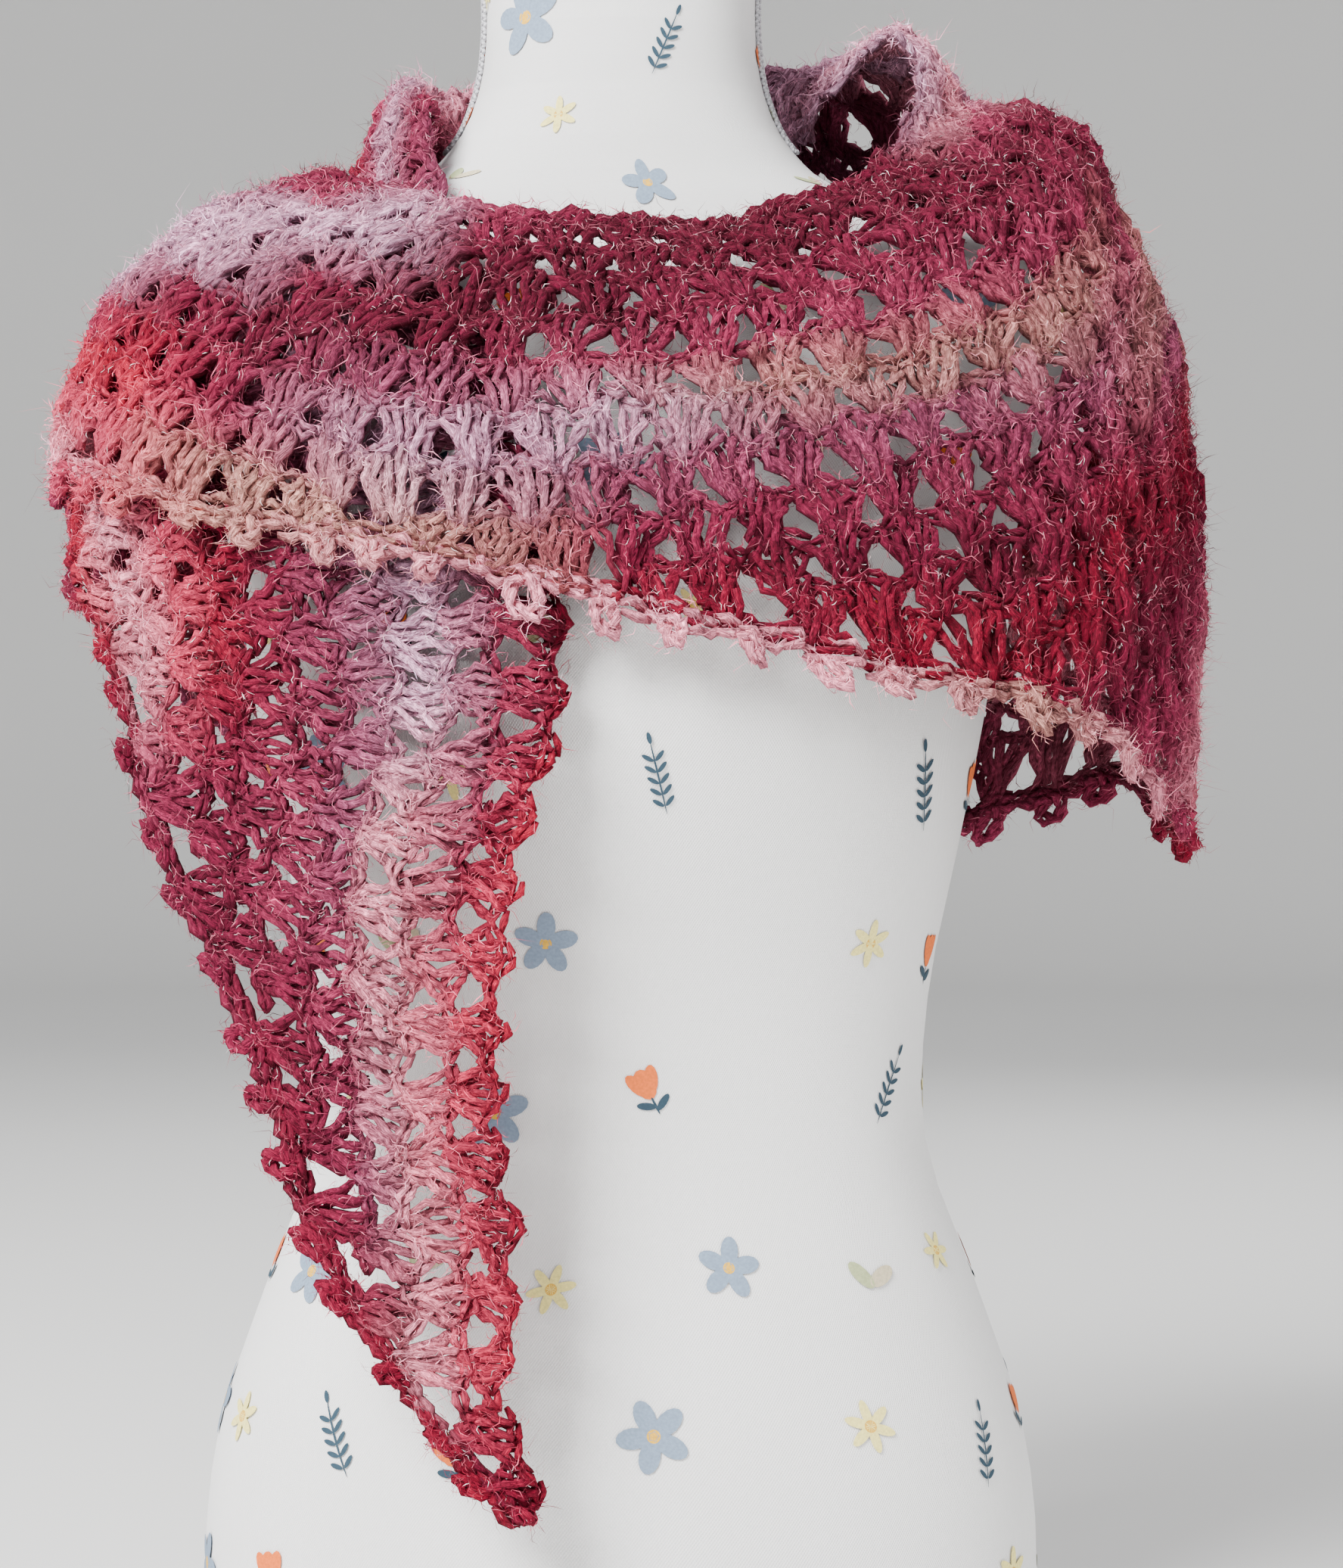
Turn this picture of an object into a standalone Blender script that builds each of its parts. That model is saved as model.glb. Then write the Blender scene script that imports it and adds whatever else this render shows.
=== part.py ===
"""Crochet shawl worn on a limbless dress form, in metres, +Z up, front towards -Y.

The shawl is one long triangle of openwork crochet. Its straight edge starts at the front tip, climbs over
the shoulder on the viewer's left, goes round the back of the neck as a rolled collar, comes forward over
the other shoulder, crosses the chest and ends down the back. Every point of it is given by its place on a
set of rings round the body, and both edges of the triangle are tables of such places.
"""
import math

import bmesh
import bpy
import numpy as np

# The dress form, by height: half width, depth to the front and to the back
FORM_SECTIONS = [
    # z, half_width, front, back
    (0.000, 0.166, 0.104, 0.116),
    (0.006, 0.172, 0.108, 0.120),
    (0.050, 0.176, 0.108, 0.122),
    (0.110, 0.170, 0.104, 0.118),
    (0.170, 0.150, 0.096, 0.106),
    (0.230, 0.129, 0.088, 0.092),
    (0.290, 0.130, 0.092, 0.088),
    (0.350, 0.142, 0.108, 0.092),
    (0.410, 0.154, 0.124, 0.098),
    (0.460, 0.162, 0.118, 0.102),
    (0.510, 0.173, 0.102, 0.103),
    (0.545, 0.184, 0.088, 0.098),
    (0.572, 0.190, 0.076, 0.090),
    (0.591, 0.184, 0.069, 0.081),
    (0.603, 0.168, 0.065, 0.075),
    (0.613, 0.146, 0.062, 0.071),
    (0.622, 0.118, 0.060, 0.068),
    (0.632, 0.091, 0.058, 0.065),
    (0.646, 0.074, 0.057, 0.062),
    (0.668, 0.062, 0.056, 0.059),
    (0.680, 0.0590, 0.0555, 0.058),
    (0.694, 0.0575, 0.055, 0.057),
    (0.728, 0.0570, 0.055, 0.057),
    (0.735, 0.0563, 0.054, 0.056),
    (0.739, 0.0540, 0.052, 0.054),
]
FORM_SEGMENTS = 32
FORM_TOP_RISE = 0.003

# The rings that the shawl is draped on, from the inner foot of the collar out and down
DRAPE_RINGS = [
    # ring, left, right, front, back, z_front, z_left, z_right, z_back
    (0.00, 0.082, 0.089, 0.074, 0.070, 0.607, 0.648, 0.648, 0.660),
    (0.03, 0.083, 0.096, 0.075, 0.078, 0.606, 0.668, 0.682, 0.686),
    (0.055, 0.092, 0.114, 0.077, 0.094, 0.604, 0.676, 0.698, 0.698),
    (0.08, 0.102, 0.132, 0.079, 0.110, 0.601, 0.658, 0.688, 0.684),
    (0.10, 0.109, 0.141, 0.082, 0.119, 0.598, 0.6353, 0.670, 0.661),
    (0.15, 0.146, 0.172, 0.098, 0.132, 0.582, 0.6183, 0.664, 0.618),
    (0.19, 0.181, 0.194, 0.112, 0.140, 0.560, 0.603, 0.653, 0.580),
    (0.23, 0.208, 0.212, 0.122, 0.143, 0.530, 0.573, 0.615, 0.545),
    (0.27, 0.222, 0.227, 0.130, 0.145, 0.495, 0.537, 0.582, 0.505),
    (0.32, 0.229, 0.237, 0.137, 0.146, 0.450, 0.490, 0.536, 0.455),
    (0.38, 0.233, 0.242, 0.141, 0.146, 0.390, 0.431, 0.478, 0.395),
    (0.50, 0.236, 0.238, 0.142, 0.146, 0.270, 0.311, 0.358, 0.275),
    (0.70, 0.238, 0.238, 0.142, 0.146, 0.070, 0.111, 0.158, 0.075),
]
RING_LAST = 0.69
SQUARENESS = 0.12
ANGLE_STEP = 0.5
RING_STEP = 0.002
ALONG_STEP = 0.001
HEIGHT_STEP = 0.002
RIB_SAMPLES = 60
LINE_SAMPLES = 300

# The shawl's two edges, by distance along the straight edge from the front tip.
# An angle of 0 is the front, 90 the viewer's left, 180 the back, 270 the right and 360 the front again.
SHAWL_STATIONS = [
    # along, edge_angle, edge_ring, hem_angle, hem_ring, lift
    (0.00, 5.6, 0.673, 10.5, 0.676, 0.000),
    (0.05, 8.6, 0.623, 20.0, 0.626, 0.000),
    (0.10, 8.4, 0.573, 28.5, 0.575, 0.000),
    (0.17, 9.5, 0.503, 35.5, 0.505, 0.000),
    (0.25, 8.0, 0.423, 49.5, 0.430, 0.000),
    (0.33, 4.5, 0.343, 61.0, 0.362, 0.000),
    (0.42, 10.0, 0.220, 77.0, 0.352, 0.000),
    (0.50, 38.0, 0.100, 92.0, 0.337, 0.000),
    (0.57, 70.0, 0.015, 108.0, 0.350, 0.000),
    (0.65, 105.0, 0.000, 130.0, 0.390, 0.000),
    (0.78, 150.0, 0.000, 162.0, 0.440, 0.000),
    (0.93, 195.0, 0.000, 198.0, 0.455, 0.000),
    (1.07, 240.0, 0.006, 240.0, 0.465, 0.000),
    (1.16, 272.0, 0.045, 266.0, 0.508, 0.000),
    (1.24, 304.0, 0.092, 292.0, 0.482, 0.000),
    (1.32, 336.0, 0.100, 318.0, 0.410, 0.004),
    (1.40, 362.0, 0.100, 350.0, 0.347, 0.010),
    (1.48, 384.0, 0.104, 382.0, 0.314, 0.011),
    (1.56, 410.0, 0.108, 414.0, 0.308, 0.011),
    (1.64, 442.0, 0.112, 444.0, 0.308, 0.011),
    (1.74, 478.0, 0.135, 470.0, 0.330, 0.011),
    (1.86, 506.0, 0.205, 494.0, 0.360, 0.011),
    (1.98, 526.0, 0.310, 518.0, 0.400, 0.011),
    (2.06, 536.0, 0.400, 533.0, 0.422, 0.011),
]

# Soft folds down the back and over the right arm, by angle
FOLDS = [
    # angle, half_width, depth
    (128.0, 13.0, 0.010),
    (158.0, 12.0, -0.008),
    (186.0, 14.0, 0.012),
    (214.0, 12.0, -0.009),
    (240.0, 13.0, 0.011),
]
FOLD_STARTS = 0.14
FOLD_FULL = 0.40

# The cloth: its stretches, thickness, stitch spacing and gaps
STRETCHES = {
    # name: along_from, along_to, gap_every, most_gaps
    "tail_front": (0.00, 0.50, 2, 80),
    "back_drape": (0.50, 1.24, 3, 70),
    "front_band": (1.24, 1.62, 2, 80),
    "tail_back": (1.62, 2.06, 2, 30),
}
CLOTH_THICKNESS = 0.0040
ROW_PITCH = 0.023
STATION_PITCH = 0.025
PITCH_LINE = 0.7
SEAM_GAP = 0.0005
SEAM_CELL = 0.003
GAP_SIDE = 0.010
GAP_CELL_MIN = 0.013
GAP_BORDER_ROWS = 1

# The picot edging: a strip of chain with a round picot at each repeat
PICOT_PITCH = 0.030
PICOT_CHAIN = 0.0045
PICOT_REACH = 0.0125
PICOT_STEPS = 4
EDGING_GAP = 0.0008
EDGING_THICKNESS = 0.0032

# The braid that covers the form's side seams
BRAID_WIDTH = 0.008
BRAID_THICKNESS = 0.0018
BRAID_TOP = 0.730
BRAID_FOOT = 0.645
BRAID_GAP = 0.0005


def srgb(code):
    """Linear RGBA from a hex colour."""
    values = [int(code[i:i + 2], 16) / 255 for i in (0, 2, 4)]
    linear = [v / 12.92 if v <= 0.04045 else ((v + 0.055) / 1.055) ** 2.4 for v in values]
    return (*linear, 1.0)


def plain_material(name, code, roughness):
    material = bpy.data.materials.new(name)
    material.use_nodes = True
    shader = material.node_tree.nodes["Principled BSDF"]
    shader.inputs["Base Color"].default_value = srgb(code)
    shader.inputs["Roughness"].default_value = roughness
    shader.inputs["Metallic"].default_value = 0.0
    return material


def smooth(table, column, x):
    """Read a column of a table as a smooth curve over the table's first column."""
    keys = np.array([row[0] for row in table])
    values = np.array([row[column] for row in table])
    slopes = np.gradient(values, keys)
    x = np.clip(x, keys[0], keys[-1])
    i = np.clip(np.searchsorted(keys, x) - 1, 0, len(keys) - 2)
    span = keys[i + 1] - keys[i]
    u = (x - keys[i]) / span
    start = values[i] * (1 + 2 * u) * (1 - u) ** 2 + slopes[i] * span * u * (1 - u) ** 2
    end = values[i + 1] * u * u * (3 - 2 * u) - slopes[i + 1] * span * u * u * (1 - u)
    return start + end


def oval(angle, left, right, front, back):
    """Point of a rounded oblong at a wind angle in degrees."""
    across = np.sin(np.radians(angle))
    ahead = np.cos(np.radians(angle))
    side = np.where(across > 0, left, right)
    depth = np.where(ahead > 0, front, back)
    x = -side * across * (1 + SQUARENESS * ahead ** 2)
    y = -depth * ahead * (1 + SQUARENESS * across ** 2)
    return x, y


def drape_point(angle, ring):
    """Point of the draped surface at a wind angle and a ring."""
    left, right, front, back = (smooth(DRAPE_RINGS, column, ring) for column in range(1, 5))
    z_front, z_left, z_right, z_back = (smooth(DRAPE_RINGS, column, ring) for column in range(5, 9))
    x, y = oval(angle, left, right, front, back)
    across = np.sin(np.radians(angle))
    ahead = np.cos(np.radians(angle))
    z_side = np.where(across > 0, z_left, z_right)
    z_end = np.where(ahead > 0, z_front, z_back)
    z = z_end * ahead ** 2 + z_side * across ** 2
    return np.stack([x, y, z], axis=-1)


def fold_height(angle, ring):
    """How far the soft folds lift the cloth at a place on the drape."""
    turned = np.mod(angle, 360.0)
    rise = np.clip((ring - FOLD_STARTS) / (FOLD_FULL - FOLD_STARTS), 0, 1)
    rise = rise * rise * (3 - 2 * rise)
    height = np.zeros_like(turned)
    for centre, half_width, depth in FOLDS:
        height = height + depth * np.exp(-((turned - centre) / half_width) ** 2)
    return height * rise


def shawl_place(along, across):
    """Wind angle, ring and lift at a distance along the straight edge and a share of the width."""
    edge_angle, edge_ring, hem_angle, hem_ring, lift = (
        smooth(SHAWL_STATIONS, column, along) for column in range(1, 6))
    angle = edge_angle + (hem_angle - edge_angle) * across
    ring = np.clip(edge_ring + (hem_ring - edge_ring) * across, 0, RING_LAST)
    return angle, ring, lift


def shawl_point(along, across):
    """Point of the shawl's middle surface."""
    along = np.asarray(along, dtype=float)
    across = np.asarray(across, dtype=float)
    angle, ring, lift = shawl_place(along, across)
    right = drape_point(angle - ANGLE_STEP, ring)
    left = drape_point(angle + ANGLE_STEP, ring)
    above = drape_point(angle, ring - RING_STEP)
    below = drape_point(angle, ring + RING_STEP)
    normal = np.cross(left - right, below - above)
    normal /= np.linalg.norm(normal, axis=-1, keepdims=True)
    height = lift + fold_height(angle, ring)
    return drape_point(angle, ring) + normal * height[..., None]


def path_lengths(points):
    """Distance from the first point to each point of a path."""
    return np.append(0, np.cumsum(np.linalg.norm(np.diff(points, axis=0), axis=1)))


def shawl_width(along):
    """Length of the rib from the straight edge to the hem."""
    across = np.linspace(0, 1, RIB_SAMPLES)
    rib = shawl_point(np.full(RIB_SAMPLES, along), across)
    return path_lengths(rib)[-1]


def add_object(name, mesh_builder, collection, material):
    """Make an object from a bmesh and put it in the part's collection."""
    mesh = bpy.data.meshes.new(name)
    mesh_builder.to_mesh(mesh)
    mesh_builder.free()
    mesh.materials.append(material)
    piece = bpy.data.objects.new(name, mesh)
    collection.objects.link(piece)
    return piece


def make_solid(piece, thickness):
    """Give an open surface its thickness, half to each side."""
    solidify = piece.modifiers.new("thickness", "SOLIDIFY")
    solidify.thickness = thickness
    solidify.offset = 0.0
    solidify.use_quality_normals = True


def loft(mesh_builder, sections):
    """Join neighbouring sections, also where the next one has more or fewer points."""
    for one, two in zip(sections, sections[1:]):
        shared = min(len(one), len(two)) - 1
        for j in range(shared):
            mesh_builder.faces.new((one[j], one[j + 1], two[j + 1], two[j]))
        for j in range(shared, len(one) - 1):
            mesh_builder.faces.new((one[j], one[j + 1], two[-1]))
        for j in range(shared, len(two) - 1):
            mesh_builder.faces.new((one[-1], two[j + 1], two[j]))


def stretch_stations(along_from, along_to):
    """Places along one stretch, evenly spaced where the cloth is widest, with a narrow cell at each seam."""
    fine = np.linspace(along_from, along_to, LINE_SAMPLES)
    run = path_lengths(shawl_point(fine, np.full(LINE_SAMPLES, PITCH_LINE)))
    count = max(2, round(run[-1] / STATION_PITCH))
    even = np.linspace(0, run[-1], count + 1)
    places = np.concatenate([[0, SEAM_CELL], even[1:-1], [run[-1] - SEAM_CELL, run[-1]]])
    return np.interp(places, run, fine)


def seam_shift(along, across, ends):
    """Distance along the straight edge that opens half a seam gap at a stretch's end, else nothing."""
    if along not in ends:
        return np.zeros(len(across))
    before = shawl_point(np.full(len(across), along - ALONG_STEP), across)
    after = shawl_point(np.full(len(across), along + ALONG_STEP), across)
    rate = np.linalg.norm(after - before, axis=1) / (2 * ALONG_STEP)
    return (SEAM_GAP / 2 / rate) * (1 if along == ends[0] else -1)


def stretch_sections(mesh_builder, along_from, along_to):
    """Sections of one stretch, a row of points every row of stitches and one where the edging starts."""
    sections = []
    stations = stretch_stations(along_from, along_to)
    for along in stations:
        width = shawl_width(along)
        hem = width - PICOT_REACH
        rows = max(1, round(hem / ROW_PITCH))
        across = np.append(np.arange(rows) * ROW_PITCH, hem) / width
        shift = seam_shift(along, across, (stations[0], stations[-1]))
        points = shawl_point(along + shift, across)
        sections.append([mesh_builder.verts.new(point) for point in points])
    return sections


def gap_faces(sections, gap_every, most_gaps):
    """The largest cells, staggered from row to row, that hold the lace's gaps."""
    cells = []
    for i, (one, two) in enumerate(zip(sections, sections[1:])):
        rows = min(len(one), len(two)) - 1
        for j in range(GAP_BORDER_ROWS, rows - GAP_BORDER_ROWS):
            if (i + j * (gap_every - 1)) % gap_every or i == 0 or i == len(sections) - 2:
                continue
            corners = {one[j], one[j + 1], two[j + 1], two[j]}
            cells.append(next(face for face in one[j].link_faces if set(face.verts) == corners))
    wide = [cell for cell in cells if min(edge.calc_length() for edge in cell.edges) > GAP_CELL_MIN]
    return sorted(wide, key=lambda cell: -cell.calc_area())[:most_gaps]


def build_stretch(name, collection, material):
    """One stretch of the shawl: an open surface with its gaps cut, made solid."""
    along_from, along_to, gap_every, most_gaps = STRETCHES[name]
    mesh_builder = bmesh.new()
    sections = stretch_sections(mesh_builder, along_from, along_to)
    loft(mesh_builder, sections)
    for cell in gap_faces(sections, gap_every, most_gaps):
        side = min(edge.calc_length() for edge in cell.edges)
        bmesh.ops.inset_individual(mesh_builder, faces=[cell], thickness=(side - GAP_SIDE) / 2)
        bmesh.ops.delete(mesh_builder, geom=[cell], context="FACES")
    bmesh.ops.recalc_face_normals(mesh_builder, faces=mesh_builder.faces)
    piece = add_object(name, mesh_builder, collection, material)
    make_solid(piece, CLOTH_THICKNESS)
    return piece


def build_edging(name, along_from, along_to, collection, material):
    """Picot edging on the hem of one stretch: a narrow chain that swells to a picot at each repeat."""
    stations = stretch_stations(along_from, along_to)
    widths = np.array([shawl_width(along) for along in stations])
    stations[0] += SEAM_GAP / 2
    stations[-1] -= SEAM_GAP / 2
    starts = shawl_point(stations, 1 - (PICOT_REACH - EDGING_GAP) / widths)
    ends = shawl_point(stations, np.ones(len(stations)))
    run = path_lengths(starts)
    picots = max(2, round(run[-1] / PICOT_PITCH))
    mesh_builder = bmesh.new()
    sections = []
    for k in range(picots * PICOT_STEPS + 1):
        place = run[-1] * k / (picots * PICOT_STEPS)
        start = np.array([np.interp(place, run, starts[:, axis]) for axis in range(3)])
        end = np.array([np.interp(place, run, ends[:, axis]) for axis in range(3)])
        swell = math.sin(math.pi * k / PICOT_STEPS) ** 2
        reach = (PICOT_CHAIN + (PICOT_REACH - PICOT_CHAIN) * swell) / PICOT_REACH
        sections.append([mesh_builder.verts.new(start + (end - start) * share * reach) for share in (0, 0.5, 1)])
    loft(mesh_builder, sections)
    bmesh.ops.recalc_face_normals(mesh_builder, faces=mesh_builder.faces)
    piece = add_object(name, mesh_builder, collection, material)
    make_solid(piece, EDGING_THICKNESS)
    return piece


def form_point(angle, z, out=0.0):
    """Point on the form's skin at a wind angle and height, moved out by a distance."""
    half_width, front, back = (smooth(FORM_SECTIONS, column, z) for column in (1, 2, 3))
    x, y = oval(angle, half_width + out, half_width + out, front + out, back + out)
    return float(x), float(y), float(z)


def build_form(collection, material):
    """The limbless torso with its neck, closed by a slightly domed top and a flat base."""
    mesh_builder = bmesh.new()
    rings = []
    for z, *_ in FORM_SECTIONS:
        angles = [360.0 * k / FORM_SEGMENTS for k in range(FORM_SEGMENTS)]
        rings.append([mesh_builder.verts.new(form_point(angle, z)) for angle in angles])
    for one, two in zip(rings, rings[1:]):
        for k in range(FORM_SEGMENTS):
            after = (k + 1) % FORM_SEGMENTS
            mesh_builder.faces.new((one[k], one[after], two[after], two[k]))
    mesh_builder.faces.new(rings[0])
    top = mesh_builder.verts.new((0, 0, FORM_SECTIONS[-1][0] + FORM_TOP_RISE))
    for k in range(FORM_SEGMENTS):
        mesh_builder.faces.new((rings[-1][k], rings[-1][(k + 1) % FORM_SEGMENTS], top))
    bmesh.ops.recalc_face_normals(mesh_builder, faces=mesh_builder.faces)
    form = add_object("dress_form", mesh_builder, collection, material)
    form.data.shade_smooth()
    return form


def build_braid(name, side_angle, collection, material):
    """Braid over a side seam of the neck, moved out from the form's own points."""
    mesh_builder = bmesh.new()
    sections = []
    for z, half_width, *_ in FORM_SECTIONS:
        if not BRAID_FOOT <= z <= BRAID_TOP:
            continue
        half_turn = math.degrees(BRAID_WIDTH / 2 / half_width)
        wider = smooth(FORM_SECTIONS, 1, z - HEIGHT_STEP) - smooth(FORM_SECTIONS, 1, z + HEIGHT_STEP)
        out = (BRAID_GAP + BRAID_THICKNESS / 2) * math.hypot(1, float(wider) / (2 * HEIGHT_STEP))
        angles = (side_angle - half_turn, side_angle, side_angle + half_turn)
        sections.append([mesh_builder.verts.new(form_point(angle, z, out)) for angle in angles])
    loft(mesh_builder, sections)
    bmesh.ops.recalc_face_normals(mesh_builder, faces=mesh_builder.faces)
    piece = add_object(name, mesh_builder, collection, material)
    make_solid(piece, BRAID_THICKNESS)
    return piece


def main():
    for old in list(bpy.data.objects):
        bpy.data.objects.remove(old)
    collection = bpy.data.collections.new("crochet_shawl")
    bpy.context.scene.collection.children.link(collection)

    build_form(collection, plain_material("form_cotton", "E9E8E8", 0.85))
    braid = plain_material("braid", "C9C6C4", 0.6)
    build_braid("braid_left", 90.0, collection, braid)
    build_braid("braid_right", 270.0, collection, braid)

    yarn = plain_material("mohair_yarn", "A84A5C", 0.9)
    edging = plain_material("picot_yarn", "D9A7AD", 0.9)
    for name, (along_from, along_to, *_) in STRETCHES.items():
        build_stretch(name, collection, yarn)
        build_edging(f"picots_{name}", along_from, along_to, collection, edging)


if __name__ == "__main__":
    main()
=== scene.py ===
import math

import bmesh
import bpy
import numpy as np
from mathutils import Matrix, Vector


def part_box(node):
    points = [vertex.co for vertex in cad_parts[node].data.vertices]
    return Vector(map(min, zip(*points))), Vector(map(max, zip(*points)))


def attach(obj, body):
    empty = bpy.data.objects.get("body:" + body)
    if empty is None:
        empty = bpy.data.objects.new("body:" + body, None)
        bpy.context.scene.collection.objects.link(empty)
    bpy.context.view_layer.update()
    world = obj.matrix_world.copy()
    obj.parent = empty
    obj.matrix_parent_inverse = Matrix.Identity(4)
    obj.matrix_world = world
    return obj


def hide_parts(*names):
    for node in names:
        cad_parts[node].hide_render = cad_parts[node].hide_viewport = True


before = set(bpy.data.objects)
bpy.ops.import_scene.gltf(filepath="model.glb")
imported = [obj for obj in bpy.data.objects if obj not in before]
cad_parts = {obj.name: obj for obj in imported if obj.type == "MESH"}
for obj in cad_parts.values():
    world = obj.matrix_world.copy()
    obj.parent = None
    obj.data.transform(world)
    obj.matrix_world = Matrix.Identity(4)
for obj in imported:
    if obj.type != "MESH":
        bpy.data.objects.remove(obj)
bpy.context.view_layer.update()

bl_info = {
    "name": "Crochet shawl on a dress form",
    "version": (1, 0, 0),
    "blender": (4, 5, 0),
    "location": "3D View > Sidebar > Shawl",
    "description": "Crochets the shawl stitch by stitch over its solids and finishes the dress form under it",
    "category": "Object",
}

# The dress form, by height: half width, depth to the front and to the back
FORM_SECTIONS = [
    # z, half_width, front, back
    (0.000, 0.166, 0.104, 0.116),
    (0.006, 0.172, 0.108, 0.120),
    (0.050, 0.176, 0.108, 0.122),
    (0.110, 0.170, 0.104, 0.118),
    (0.170, 0.150, 0.096, 0.106),
    (0.230, 0.129, 0.088, 0.092),
    (0.290, 0.130, 0.092, 0.088),
    (0.350, 0.142, 0.108, 0.092),
    (0.410, 0.154, 0.124, 0.098),
    (0.460, 0.162, 0.118, 0.102),
    (0.510, 0.173, 0.102, 0.103),
    (0.545, 0.184, 0.088, 0.098),
    (0.572, 0.190, 0.076, 0.090),
    (0.591, 0.184, 0.069, 0.081),
    (0.603, 0.168, 0.065, 0.075),
    (0.613, 0.146, 0.062, 0.071),
    (0.622, 0.118, 0.060, 0.068),
    (0.632, 0.091, 0.058, 0.065),
    (0.646, 0.074, 0.057, 0.062),
    (0.668, 0.062, 0.056, 0.059),
    (0.680, 0.0590, 0.0555, 0.058),
    (0.694, 0.0575, 0.055, 0.057),
    (0.728, 0.0570, 0.055, 0.057),
    (0.735, 0.0563, 0.054, 0.056),
    (0.739, 0.0540, 0.052, 0.054),
]
FORM_TOP_RISE = 0.003

# The braid over the neck's side seams: where it lies, and its three strands' winding
BRAID_ANGLES = {"braid_left": 83.0, "braid_right": 277.0}
BRAID_PITCH = 0.0085
BRAID_SWING = 0.0029
BRAID_HEIGHT = 0.0012
BRAID_WEAVE = 0.0005
BRAID_RADIUS = 0.00085

# The rings that the shawl is draped on, from the inner foot of the collar out and down
DRAPE_RINGS = [
    # ring, left, right, front, back, z_front, z_left, z_right, z_back
    (0.00, 0.082, 0.089, 0.074, 0.070, 0.607, 0.648, 0.648, 0.660),
    (0.03, 0.083, 0.096, 0.075, 0.078, 0.606, 0.668, 0.682, 0.686),
    (0.055, 0.092, 0.114, 0.077, 0.094, 0.604, 0.676, 0.698, 0.698),
    (0.08, 0.102, 0.132, 0.079, 0.110, 0.601, 0.658, 0.688, 0.684),
    (0.10, 0.109, 0.141, 0.082, 0.119, 0.598, 0.6353, 0.670, 0.661),
    (0.15, 0.146, 0.172, 0.098, 0.132, 0.582, 0.6183, 0.664, 0.618),
    (0.19, 0.181, 0.194, 0.112, 0.140, 0.560, 0.603, 0.653, 0.580),
    (0.23, 0.208, 0.212, 0.122, 0.143, 0.530, 0.573, 0.615, 0.545),
    (0.27, 0.222, 0.227, 0.130, 0.145, 0.495, 0.537, 0.582, 0.505),
    (0.32, 0.229, 0.237, 0.137, 0.146, 0.450, 0.490, 0.536, 0.455),
    (0.38, 0.233, 0.242, 0.141, 0.146, 0.390, 0.431, 0.478, 0.395),
    (0.50, 0.236, 0.238, 0.142, 0.146, 0.270, 0.311, 0.358, 0.275),
    (0.70, 0.238, 0.238, 0.142, 0.146, 0.070, 0.111, 0.158, 0.075),
]
RING_LAST = 0.69
SQUARENESS = 0.12
ANGLE_STEP = 0.5
RING_STEP = 0.002

# The shawl's two edges, by distance along the straight edge from the front tip
SHAWL_STATIONS = [
    # along, edge_angle, edge_ring, hem_angle, hem_ring, lift
    (0.00, 5.6, 0.673, 10.5, 0.676, 0.000),
    (0.05, 8.6, 0.623, 20.0, 0.626, 0.000),
    (0.10, 8.4, 0.573, 28.5, 0.575, 0.000),
    (0.17, 9.5, 0.503, 35.5, 0.505, 0.000),
    (0.25, 8.0, 0.423, 49.5, 0.430, 0.000),
    (0.33, 4.5, 0.343, 61.0, 0.362, 0.000),
    (0.42, 10.0, 0.220, 77.0, 0.352, 0.000),
    (0.50, 38.0, 0.100, 92.0, 0.337, 0.000),
    (0.57, 70.0, 0.015, 108.0, 0.350, 0.000),
    (0.65, 105.0, 0.000, 130.0, 0.390, 0.000),
    (0.78, 150.0, 0.000, 162.0, 0.440, 0.000),
    (0.93, 195.0, 0.000, 198.0, 0.455, 0.000),
    (1.07, 240.0, 0.006, 240.0, 0.465, 0.000),
    (1.16, 272.0, 0.045, 266.0, 0.508, 0.000),
    (1.24, 304.0, 0.092, 292.0, 0.482, 0.000),
    (1.32, 336.0, 0.100, 318.0, 0.410, 0.004),
    (1.40, 362.0, 0.100, 350.0, 0.347, 0.010),
    (1.48, 384.0, 0.104, 382.0, 0.314, 0.011),
    (1.56, 410.0, 0.108, 414.0, 0.308, 0.011),
    (1.64, 442.0, 0.112, 444.0, 0.308, 0.011),
    (1.74, 478.0, 0.135, 470.0, 0.330, 0.011),
    (1.86, 506.0, 0.205, 494.0, 0.360, 0.011),
    (1.98, 526.0, 0.310, 518.0, 0.400, 0.011),
    (2.06, 536.0, 0.400, 533.0, 0.422, 0.011),
]
SHAWL_LENGTH = 2.06
PICOT_REACH = 0.0125

# Soft folds down the back and over the right arm, by angle
FOLDS = [
    # angle, half_width, depth
    (128.0, 13.0, 0.010),
    (158.0, 12.0, -0.008),
    (186.0, 14.0, 0.012),
    (214.0, 12.0, -0.009),
    (240.0, 13.0, 0.011),
]
FOLD_STARTS = 0.14
FOLD_FULL = 0.40

# The pieces of cloth that are made, with the solids that each stands for
STRETCHES = {
    # name: along_from, along_to, solids
    "tail_front_rows": (0.00, 0.50, ("tail_front",)),
    "collar_left_rows": (0.50, 0.74, ("back_drape",)),
    "back_rows": (0.74, 0.99, ()),
    "collar_right_rows": (0.99, 1.24, ()),
    "front_band_rows": (1.24, 1.62, ("front_band",)),
    "tail_back_rows": (1.62, 2.06, ("tail_back",)),
}
PICOT_RUNS = {
    # name: along_from, along_to, solid
    "picot_hem_tail_front": (0.00, 0.50, "picots_tail_front"),
    "picot_hem_back": (0.50, 1.24, "picots_back_drape"),
    "picot_hem_front_band": (1.24, 1.62, "picots_front_band"),
    "picot_hem_tail_back": (1.62, 2.06, "picots_tail_back"),
}

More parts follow.
